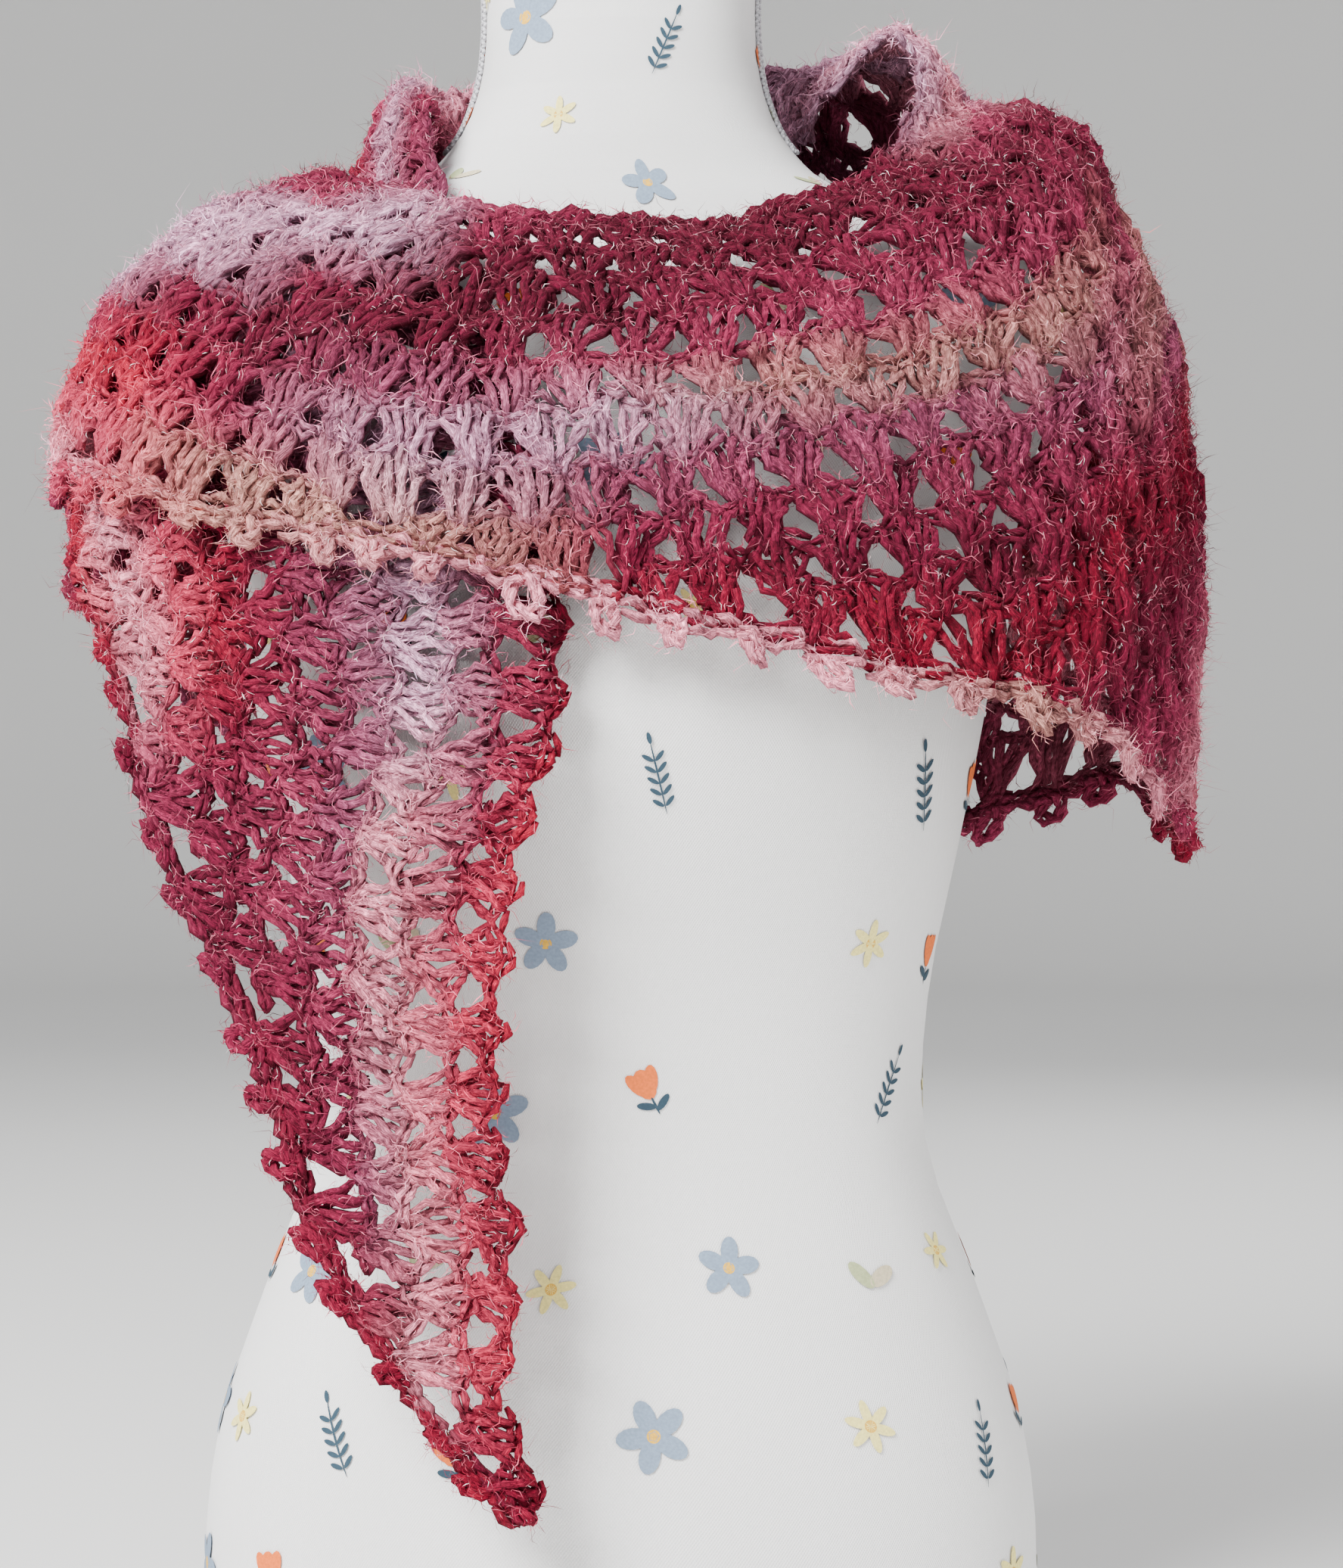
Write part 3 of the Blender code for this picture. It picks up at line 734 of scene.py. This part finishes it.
def gather_fans(first_strands, second_strands, borders, settings):
    """Fans of double crochet in every row, their feet toward the hem, each post two strands that twist."""
    pitch = settings.row_pitch
    radius = settings.yarn_radius
    climb = np.linspace(-0.02, 1.02, POST_POINTS)
    posts = np.arange(FAN_POSTS) - (FAN_POSTS - 1) / 2
    for row, places, index, centres in fan_rows(settings):
        count = len(centres)
        shape = (count, FAN_POSTS, 2, POST_POINTS)
        each = (count, FAN_POSTS, 1, 1)
        one = (count, FAN_POSTS, 2, 1)
        lean = (FAN_TILT if row % 2 else -FAN_TILT) + uneven("tilt", count, 1, 1, 1)
        spread = 1 + uneven("spread", count, 1, 1, 1)
        foot = posts[None, :, None, None] * FAN_FOOT
        head = posts[None, :, None, None] * FAN_HEAD * spread + uneven("head", *each)
        t = np.broadcast_to(climb, shape)
        inside = np.clip(t, 0, 1)
        twist = rng.uniform(0, 2 * math.pi, each) + math.pi * np.arange(2)[None, None, :, None]
        twist = twist + 2 * math.pi * POST_TURNS * t * (1 + uneven("turns", *each))
        offset = radius * 0.72 * (0.55 + 0.45 * np.sin(math.pi * inside)) * (1 + uneven("offset", *one))
        curl = CURL * np.sin(2 * math.pi * (t * rng.uniform(0.8, 1.9, one) + rng.random(one)))
        swing = CURL * np.sin(2 * math.pi * (t * rng.uniform(0.8, 1.9, one) + rng.random(one)))
        u = foot + (head - foot) * inside ** FAN_BULGE + lean * (t - 0.5) + uneven("place", count, 1, 1, 1)
        u = u + (offset * np.cos(twist) + curl) / settings.repeat_pitch
        place = np.interp(centres[:, None, None, None] + u, index, places)
        low = border_distance(row, place, pitch)
        high = border_distance(row + 1, place, pitch)
        arch = SCALLOP * np.cos(2 * math.pi * u) * (1 - 2 * inside)
        distance = high + (low - high) * (t + uneven("reach", *each)) + arch + swing * 0.5
        lifted = POST_LIFT * np.sin(math.pi * inside) + uneven("lift", *each)
        height = lifted - 0.0003 + offset * np.sin(twist) + swing
        thick = radius * (0.66 + 0.38 * np.sin(math.pi * np.clip(t, 0.03, 0.97)) ** 0.5)
        thick = np.broadcast_to(thick * (1 + uneven("thick", *one)), shape)
        yarn_tint = dye_colour(place, 0.65 * (low + high) / 2 + 0.35 * distance)
        # Strand colour: the dye, darkened with painted shade where the strand lies deep in the cloth
        yarn_tint = yarn_tint * (1 + uneven("dye", *one, 1)) * painted_hollow_shade(height)
        centre_place = np.interp(centres, index, places)
        for k, skeins in enumerate((first_strands, second_strands)):
            give(skeins, centre_place, place[:, :, k], distance[:, :, k], height[:, :, k], thick[:, :, k],
                 yarn_tint[:, :, k])
        heads = border_distance(row, places, pitch) - SCALLOP * np.cos(2 * math.pi * (index - centres[0]))
        chain_line(borders, places, heads, 1.0, dye_colour, radius * BORDER_SIZE)


def painted_hollow_shade(height):
    """How much painted shade darkens the colour of yarn that lies deep between the loose hairs of the yarn above it.
    """
    return (PAINTED_SHADE_DARKEST + PAINTED_SHADE_GAIN * np.clip((height + PAINTED_SHADE_DEPTH) / PAINTED_SHADE_RANGE, 0, 1))[..., None]


def handwork(path):
    """How far uneven tension pulls the stitches at each point, as soft waves of a few sizes."""
    pull = np.zeros_like(path)
    for wave, turn in zip(WAVES, WAVE_TURNS):
        pull = pull + WAVE_PULL * np.linalg.norm(wave) ** -0.5 * turn * np.sin(path @ wave)[..., None]
    return pull


def give(skeins, centre_place, place, distance, height, thick, yarn_tint, sides=4):
    """Hand strands to the skein of the stretch that their middle lies in."""
    path, up = cloth_point(place, distance, height)
    path = path + handwork(path)
    last = place.shape[-1]
    for name, (along_from, along_to, skein) in skeins.items():
        mine = (centre_place >= along_from) & (centre_place < along_to)
        if name == list(skeins)[-1]:
            mine |= centre_place >= along_to
        if mine.any():
            skein.add(path[mine].reshape(-1, last, 3), up[mine].reshape(-1, last, 3),
                      thick[mine].reshape(-1, last), np.clip(yarn_tint[mine], 0, 1).reshape(-1, last, 3), sides)


def chain_line(skeins, places, distance, size, colour, radius):
    """A line of chain stitches, each a V of two short arms that the next one covers."""
    run = path_lengths(cloth_point(places, distance)[0])
    count = max(1, round(run[-1] / (STITCH_LENGTH * size)))
    arm = np.array([-1.0, 1.0])[None, :, None]
    index = np.arange(count)[:, None, None] + CHAIN_PLACE + uneven("chain_place", count, 1, 1)
    place = np.interp(index * run[-1] / count, run, places)
    aside = arm * CHAIN_ASIDE * size + uneven("chain_aside", count, 1, 1) + uneven("chain_arm", count, 2, 3)
    out = np.interp(place, places, distance) + aside
    place = np.broadcast_to(place, out.shape)
    height = CHAIN_RISE * size + uneven("chain_rise", count, 1, 1) + 0.0002 + np.zeros_like(out)
    thick = CHAIN_SWELL * radius * np.ones_like(out)
    # Chain colour: the dye, darkened with painted shade where the arm lies deep in the cloth
    yarn_tint = colour(place, out) * (1 + uneven("chain_dye", count, 1, 1, 1)) * painted_hollow_shade(height)
    give(skeins, place[:, 0, 1], place, out, height, thick, yarn_tint, 3)


def gather_edges(skeins, settings):
    """The chain along the hem that carries the picots."""
    chain_line(skeins, FINE_ALONG, hem_at(FINE_ALONG), 1.1, dye_colour, settings.yarn_radius * HEM_CHAIN_SIZE)


def gather_picots(skeins, settings):
    """The picot edging: a chain along the hem and a round loop of chain at each repeat."""
    radius = settings.yarn_radius * PICOT_YARN
    line = hem_at(FINE_ALONG) + PICOT_LINE
    chain_line(skeins, FINE_ALONG, line, 1.15, hem_colour, radius)
    run = path_lengths(cloth_point(FINE_ALONG, line)[0])
    count = round(run[-1] / settings.picot_pitch)
    centres = (np.arange(count) + 0.5) * run[-1] / count + uneven("picot_place", count)
    turn = np.linspace(0, 2 * math.pi, PICOT_POINTS)[None, None, :]
    size = PICOT_SIZE * (1 + uneven("picot_size", count, 1, 1))
    strand = math.pi * np.arange(2)[None, :, None] + turn * 2.5
    off = radius * 0.75
    wide = size + off * np.cos(strand)
    ahead = -wide * np.sin(turn) * (1 + uneven("picot_width", count, 1, 1))
    out = PICOT_STEM + size - wide * np.cos(turn)
    ahead = ahead + uneven("picot_lean", count, 1, 1) * out
    place = np.interp(centres[:, None, None] + ahead, run, FINE_ALONG)
    distance = np.minimum(hem_at(place) + out, width_at(place) + 0.003)
    height = off * np.sin(strand) + uneven("picot_rise", count, 1, 1) + 0.0015 * np.sin(turn / 2)
    thick = np.full(place.shape, radius) * np.where(np.abs(turn - math.pi) > 3.0, 0.6, 1.0)
    yarn_tint = hem_colour(place) * (1 + uneven("picot_dye", count, 1, 1, 1))
    give(skeins, np.interp(centres, run, FINE_ALONG), place, distance, height, thick, yarn_tint)


# The dress form

def form_point(angle, z, out=0.0):
    """Point on the form's skin at a wind angle and height, moved out by a distance."""
    half_width, front, back = (smooth(FORM_SECTIONS, column, z) for column in (1, 2, 3))
    x, y = oval(angle, half_width + out, half_width + out, front + out, back + out)
    return np.stack(np.broadcast_arrays(x, y, z), axis=-1)


FORM_AROUND = 96
FORM_UP = 72


def form_skin():
    """A grid rolled round the form's sections and closed at its seam, base and top."""
    builder = bmesh.new()
    skin = builder.loops.layers.uv.new("skin")
    bmesh.ops.create_grid(builder, x_segments=FORM_AROUND, y_segments=FORM_UP, size=0.5)
    top = FORM_SECTIONS[-1][0]
    heights = np.array([row[0] for row in FORM_SECTIONS])
    for face in builder.faces:
        for loop in face.loops:
            x, y = loop.vert.co.x + 0.5, loop.vert.co.y + 0.5
            loop[skin].uv = (x * 0.80, y * top)
    for vert in builder.verts:
        share = (vert.co.y + 0.5) * (len(heights) - 1)
        z = float(np.interp(share, np.arange(len(heights)), heights))
        vert.co = form_point(-360.0 * (vert.co.x + 0.5) + 180.0, z)
    bmesh.ops.remove_doubles(builder, verts=builder.verts, dist=0.00002)
    rims = [edge for edge in builder.edges if edge.is_boundary]
    base = [edge for edge in rims if edge.verts[0].co.z < 0.01]
    neck = [edge for edge in rims if edge.verts[0].co.z > 0.5]
    bmesh.ops.contextual_create(builder, geom=base)
    for scale, rise in ((0.7, 0.6), (0.3, 0.35)):
        made = bmesh.ops.extrude_edge_only(builder, edges=neck)
        ring = [item for item in made["geom"] if isinstance(item, bmesh.types.BMVert)]
        neck = [item for item in made["geom"] if isinstance(item, bmesh.types.BMEdge)]
        bmesh.ops.scale(builder, vec=(scale, scale, 1), verts=ring)
        bmesh.ops.translate(builder, vec=(0, 0, FORM_TOP_RISE * rise), verts=ring)
    bmesh.ops.contextual_create(builder, geom=neck)
    bmesh.ops.recalc_face_normals(builder, faces=builder.faces)
    return builder


def bmesh_object(name, builder, material):
    """An object from a finished builder."""
    mesh = bpy.data.meshes.new(name)
    builder.to_mesh(mesh)
    builder.free()
    mesh.materials.append(material)
    mesh.shade_smooth()
    piece = bpy.data.objects.new(name, mesh)
    bpy.context.scene.collection.objects.link(piece)
    return piece


# Ordinary flower motifs: petals and leaves as shares of the motif's size
MOTIFS = {
    # name: parts of (centre x, centre y, half length, half width, turn in degrees, ink)
    "five_petal": tuple(
        (0.50 * math.cos(math.radians(90 + 72 * k)), 0.50 * math.sin(math.radians(90 + 72 * k)), 0.42, 0.26,
         90 + 72 * k, "slate") for k in range(5)) + ((0.0, 0.0, 0.17, 0.17, 0, "ochre"),),
    "bud": ((0.0, 0.10, 0.46, 0.30, 90, "tangerine"), (-0.22, 0.16, 0.42, 0.20, 112, "tangerine"),
            (0.22, 0.16, 0.42, 0.20, 68, "tangerine"), (0.0, -0.55, 0.30, 0.035, 90, "pine"),
            (-0.24, -0.48, 0.28, 0.11, 150, "pine"), (0.24, -0.58, 0.28, 0.11, 30, "pine")),
    "sprig": ((0.0, 0.0, 1.0, 0.025, 90, "pine"),) + tuple(
        (side * 0.15, -0.65 + 0.30 * k, 0.17, 0.06, 90 - side * 48, "pine")
        for k in range(5) for side in (-1, 1)) + ((0.0, 1.05, 0.16, 0.06, 90, "pine"),),
    "leaf_pair": ((-0.28, 0.0, 0.42, 0.20, 140, "moss"), (0.28, 0.06, 0.42, 0.20, 42, "sand")),
    "little_star": tuple((0.34 * math.cos(math.radians(60 * k)), 0.34 * math.sin(math.radians(60 * k)), 0.34,
                          0.13, 60 * k, "butter") for k in range(6)) + ((0.0, 0.0, 0.16, 0.16, 0, "ochre"),),
}
INKS = {"slate": "7E8FA3", "ochre": "D9A93E", "tangerine": "DD6A2C", "pine": "2F4350", "moss": "A7AE84",
        "sand": "C3B79A", "butter": "E9DC8C"}
PRINT_ROWS = [
    # height, first angle, step in degrees, size, motifs in turn
    (0.716, 14.0, 60.0, 0.0100, ("leaf_pair", "little_star", "five_petal")),
    (0.690, -22.0, 60.0, 0.0150, ("sprig", "five_petal", "bud")),
    (0.660, 20.0, 52.0, 0.0105, ("little_star", "bud", "leaf_pair")),
    (0.628, -8.0, 45.0, 0.0110, ("five_petal", "leaf_pair", "little_star")),
    (0.575, 12.0, 30.0, 0.0150, ("bud", "little_star", "five_petal", "leaf_pair")),
    (0.510, 0.0, 24.0, 0.0160, ("five_petal", "sprig", "little_star", "bud", "leaf_pair")),
    (0.445, 10.0, 24.0, 0.0150, ("leaf_pair", "bud", "little_star", "five_petal")),
    (0.380, -4.0, 26.0, 0.0160, ("sprig", "little_star", "five_petal", "bud")),
    (0.315, 9.0, 28.0, 0.0150, ("five_petal", "leaf_pair", "bud", "little_star")),
    (0.250, -6.0, 28.0, 0.0160, ("bud", "five_petal", "little_star", "sprig")),
    (0.185, 8.0, 24.0, 0.0150, ("little_star", "leaf_pair", "five_petal", "bud")),
    (0.120, -3.0, 22.0, 0.0160, ("five_petal", "bud", "sprig", "little_star")),
    (0.055, 7.0, 22.0, 0.0150, ("leaf_pair", "little_star", "bud", "five_petal")),
]
PRINT_OFF = 0.0006


def petal(builder, tint, angle, z, size, turn, part):
    """One printed petal: a small disc, pulled to its shape and laid on the form's skin."""
    centre_x, centre_y, half_long, half_wide, part_turn, ink = part
    made = bmesh.ops.create_circle(builder, cap_ends=True, cap_tris=True, segments=14, radius=1.0)
    shape = (Matrix.Rotation(math.radians(turn), 4, "Z") @ Matrix.Translation((centre_x, centre_y, 0))
             @ Matrix.Rotation(math.radians(part_turn), 4, "Z") @ Matrix.Diagonal((half_long, half_wide, 1, 1)))
    bmesh.ops.transform(builder, matrix=shape, verts=made["verts"])
    around = float(np.linalg.norm(form_point(angle + 0.5, z) - form_point(angle - 0.5, z)))
    rise = 0.002
    slope = float(np.linalg.norm(form_point(angle, z + rise) - form_point(angle, z - rise))) / (2 * rise)
    colour = (*linear(INKS[ink]), 1.0)
    for vert in made["verts"]:
        vert[tint] = colour
        vert.co = form_point(angle - vert.co.x * size / around, z + vert.co.y * size / slope, PRINT_OFF)


def print_builder():
    """All the printed motifs, row by row round the form."""
    builder = bmesh.new()
    tint = builder.verts.layers.float_color.new("ink")
    for z, first, step, size, names in PRINT_ROWS:
        for k in range(int(360 / step)):
            angle = first + step * k + rng.normal(0, step * 0.07)
            height = z + rng.normal(0, 0.004)
            scale = size * (1 + rng.normal(0, 0.08))
            turn = rng.uniform(-28, 28)
            for part in MOTIFS[names[k % len(names)]]:
                petal(builder, tint, angle, height, scale, turn, part)
    return builder


# Settings

class YarnSettings(bpy.types.PropertyGroup):
    row_pitch: bpy.props.FloatProperty(
        name="Row pitch", description="Height of one row of stitches", default=0.0184, unit="LENGTH")
    repeat_pitch: bpy.props.FloatProperty(
        name="Fan pitch", description="Width of one fan of stitches", default=0.0262, unit="LENGTH")
    picot_pitch: bpy.props.FloatProperty(
        name="Picot pitch", description="Distance from one picot to the next", default=0.029, unit="LENGTH")
    yarn_radius: bpy.props.FloatProperty(
        name="Strand radius", description="Radius of one strand", default=0.0020, unit="LENGTH", precision=5)
    ply_twist: bpy.props.FloatProperty(
        name="Ply twist", description="Length of yarn in one turn of its plies", default=0.007, unit="LENGTH")
    # The binder's pale colour is partly the thread's own and partly painted highlight for its glints
    binder_glint_hex: bpy.props.StringProperty(
        name="Binder colour", description="sRGB hex colour of the shiny binder thread", default="F6DADC")
    hair_width: bpy.props.FloatProperty(
        name="Hair width", description="Drawn width of a loose hair", default=0.00042, unit="LENGTH", precision=5)
    hair_long: bpy.props.FloatProperty(
        name="Longest hair", description="Length of the longest loose hair", default=0.015, unit="LENGTH")
    binder_share: bpy.props.FloatProperty(
        name="Binder thread", description="Share of the loose hairs that is binder thread", default=0.10, min=0,
        max=1)
    hairs_each_point: bpy.props.FloatProperty(
        name="Hairs", description="Loose hairs for each point of the strands", default=4.3)


class FormSettings(bpy.types.PropertyGroup):
    cotton_hex: bpy.props.StringProperty(
        name="Cotton colour", description="sRGB hex colour of the cover", default="ECEBEA")
    braid_hex: bpy.props.StringProperty(
        name="Braid colour", description="sRGB hex colour of the braid", default="C4C3C8")
    thread_pitch: bpy.props.FloatProperty(
        name="Thread spacing", description="Drawn spacing of the cover's threads", default=0.0009, unit="LENGTH",
        precision=5)


class StageSettings(bpy.types.PropertyGroup):
    floor_hex: bpy.props.StringProperty(
        name="Floor colour", description="sRGB hex colour of the floor", default="E6E5E3")
    key_power: bpy.props.FloatProperty(
        name="Key light", description="Power of the main light, in watts", default=200.0, min=0)
    fill_power: bpy.props.FloatProperty(
        name="Fill light", description="Power of the fill light, in watts", default=26.0, min=0)


# Operators

class SHAWL_OT_form(bpy.types.Operator):
    """Cover the dress form in printed cotton"""
    bl_idname = "shawl.form"
    bl_label = "Dress form"

    def execute(self, context):
        settings = context.scene.form_settings
        form = bmesh_object("dress_form_cover", form_skin(), cotton_material(settings))
        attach(form, "root")
        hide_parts("dress_form")
        motifs = bmesh_object("printed_flowers", print_builder(), print_material())
        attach(motifs, "root")
        return {"FINISHED"}


class SHAWL_OT_braids(bpy.types.Operator):
    """Lay the gimp braid over the two side seams of the neck"""
    bl_idname = "shawl.braids"
    bl_label = "Neck braids"

    def execute(self, context):
        material = braid_material(context.scene.form_settings)
        for node, side_angle in BRAID_ANGLES.items():
            low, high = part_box(node)
            skein = Skein()
            z = np.linspace(low.z + 0.001, high.z - 0.001, 120)
            for k in range(3):
                phase = 2 * math.pi * (z / BRAID_PITCH) + 2 * math.pi * k / 3
                aside = np.degrees(BRAID_SWING * np.sin(phase) / smooth(FORM_SECTIONS, 1, z))
                slope = np.gradient(smooth(FORM_SECTIONS, 1, z), z)
                out = (BRAID_HEIGHT + BRAID_WEAVE * np.cos(2 * phase)) * np.sqrt(1 + slope ** 2)
                path = form_point(side_angle + aside, z, out)[None]
                up = path * np.array([1.0, 1.0, 0.0])
                up /= np.linalg.norm(up, axis=-1, keepdims=True)
                skein.add(path, up, np.full(path.shape[:2], BRAID_RADIUS), np.ones(path.shape), sides=6)
            braid = skein.make(f"{node}_strands", material)
            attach(braid, "root")
            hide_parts(node)
        return {"FINISHED"}


class SHAWL_OT_rows(bpy.types.Operator):
    """Crochet the rows of fans, their borders and their loose hair, stretch by stretch"""
    bl_idname = "shawl.rows"
    bl_label = "Rows of stitches"

    def execute(self, context):
        settings = context.scene.yarn_settings
        yarn = yarn_material(settings)
        hair = halo_material()
        fans, wraps, borders = (
            {name: (row[0], row[1], Skein()) for name, row in STRETCHES.items()} for _ in range(3))
        gather_fans(fans, wraps, borders, settings)
        gather_edges(borders, settings)
        for name, (along_from, along_to, solids) in STRETCHES.items():
            rows = fans[name][2].make(name, yarn)
            wrap = wraps[name][2].make(name.replace("rows", "second_strands"), yarn)
            chains = borders[name][2].make(name.replace("rows", "chains"), yarn)
            count = sum(len(roots[0]) for skein in (fans[name][2], borders[name][2]) for roots in skein.roots)
            hairs = int(settings.hairs_each_point * count)
            halo = make_halo(name.replace("rows", "hair"), (fans[name][2], wraps[name][2], borders[name][2]),
                             hairs, hair, settings)
            for piece in (rows, wrap, chains, halo):
                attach(piece, "root")
            if solids:
                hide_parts(*solids)
            places = np.linspace(along_from, along_to, 40)
            line = width_at(places)
            step = [cloth_point(places, np.full(40, share) * line)[0] for share in (0.25, 0.75)]
            run = sum(path_lengths(path)[-1] for path in step) / 2
        return {"FINISHED"}


class SHAWL_OT_picots(bpy.types.Operator):
    """Crochet the picot edging on the two slanting sides"""
    bl_idname = "shawl.picots"
    bl_label = "Picot edging"

    def execute(self, context):
        settings = context.scene.yarn_settings
        yarn = bpy.data.materials["mohair_yarn_two_ply"]
        runs = {name: (row[0], row[1], Skein()) for name, row in PICOT_RUNS.items()}
        gather_picots(runs, settings)
        for name, (_, _, solid) in PICOT_RUNS.items():
            edging = runs[name][2].make(name, yarn)
            count = sum(len(roots[0]) for roots in runs[name][2].roots)
            hair = make_halo(f"{name}_hair", (runs[name][2],), int(settings.hairs_each_point * count),
                             bpy.data.materials["mohair_loose_hair"], settings)
            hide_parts(solid)
            for piece in (edging, hair):
                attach(piece, "root")
        return {"FINISHED"}


class SHAWL_OT_stage(bpy.types.Operator):
    """Set up the pale floor, the soft lights and the camera"""
    bl_idname = "shawl.stage"
    bl_label = "Floor, lights and camera"

    def execute(self, context):
        settings = context.scene.stage_settings
        material, tree = new_material("pale_studio_floor")
        grain = add_node(tree, "TexNoise", Scale=9.0, Detail=2.0)
        finish_material(tree, toned(tree, linear(settings.floor_hex), remap(tree, grain, 0.0, 1.0, 0.97, 1.02)), 0.9)
        builder = bmesh.new()
        bmesh.ops.create_circle(builder, segments=96, radius=5.0, cap_ends=True)
        rim = list(builder.edges)
        # The floor's rim turns up in steps of scale and rise, and makes the plain wall
        for radius, rise in ((1.06, 0.05), (1.05, 0.20), (1.03, 0.45), (1.01, 1.2), (1.0, 3.0)):
            made = bmesh.ops.extrude_edge_only(builder, edges=rim)
            ring = [item for item in made["geom"] if isinstance(item, bmesh.types.BMVert)]
            rim = [item for item in made["geom"] if isinstance(item, bmesh.types.BMEdge)]
            bmesh.ops.scale(builder, vec=(radius, radius, 1), verts=ring)
            bmesh.ops.translate(builder, vec=(0, 0, rise), verts=ring)
        floor = bmesh_object("studio_floor", builder, material)
        floor.location.z = -0.0002

        world = bpy.data.worlds.new("soft_daylight")
        world.use_nodes = True
        world.node_tree.nodes["Background"].inputs[0].default_value = (*linear("E8ECF2"), 1.0)
        world.node_tree.nodes["Background"].inputs[1].default_value = 0.55
        context.scene.world = world
        aim = Vector((0.0, 0.0, 0.4))
        for name, power, size, place in (
                ("key_light", settings.key_power, 1.1, (-1.2, -1.5, 1.9)),
                ("fill_light", settings.fill_power, 1.6, (1.8, -1.2, 1.0)),
                ("back_light", settings.fill_power, 1.6, (0.6, 2.0, 1.8))):
            lamp = bpy.data.lights.new(name, "AREA")
            lamp.energy = power
            lamp.size = size
            light = bpy.data.objects.new(name, lamp)
            light.location = place
            light.rotation_euler = (light.location - aim).to_track_quat("Z", "Y").to_euler()
            context.scene.collection.objects.link(light)

        lens = bpy.data.cameras.new("photo_camera")
        lens.sensor_fit = "VERTICAL"
        lens.sensor_height = 24.0
        lens.lens = 24.0 * 4536 / 2072
        lens.clip_start = 0.02
        camera = bpy.data.objects.new("photo_camera", lens)
        camera.location = (0.0213, -1.46, 0.38)
        camera.rotation_euler = (math.radians(90), 0, 0)
        context.scene.collection.objects.link(camera)
        context.scene.camera = camera
        return {"FINISHED"}


class SHAWL_PT_panel(bpy.types.Panel):
    bl_idname = "SHAWL_PT_panel"
    bl_label = "Crochet shawl"
    bl_space_type = "VIEW_3D"
    bl_region_type = "UI"
    bl_category = "Shawl"

    def draw(self, context):
        scene = context.scene
        for settings in (scene.yarn_settings, scene.form_settings, scene.stage_settings):
            for name in settings.__annotations__:
                self.layout.prop(settings, name)
        for operator in OPERATORS:
            self.layout.operator(operator.bl_idname)


SETTINGS = {"yarn_settings": YarnSettings, "form_settings": FormSettings, "stage_settings": StageSettings}
OPERATORS = (SHAWL_OT_form, SHAWL_OT_braids, SHAWL_OT_rows, SHAWL_OT_picots, SHAWL_OT_stage)


def register():
    for kind in (*SETTINGS.values(), *OPERATORS, SHAWL_PT_panel):
        bpy.utils.register_class(kind)
    for name, kind in SETTINGS.items():
        setattr(bpy.types.Scene, name, bpy.props.PointerProperty(type=kind))


def unregister():
    for name in SETTINGS:
        delattr(bpy.types.Scene, name)
    for kind in (SHAWL_PT_panel, *OPERATORS[::-1], *SETTINGS.values()):
        bpy.utils.unregister_class(kind)


def main():
    register()
    bpy.ops.shawl.form()
    bpy.ops.shawl.braids()
    bpy.ops.shawl.rows()
    bpy.ops.shawl.picots()
    bpy.ops.shawl.stage()


if __name__ == "__main__":
    main()
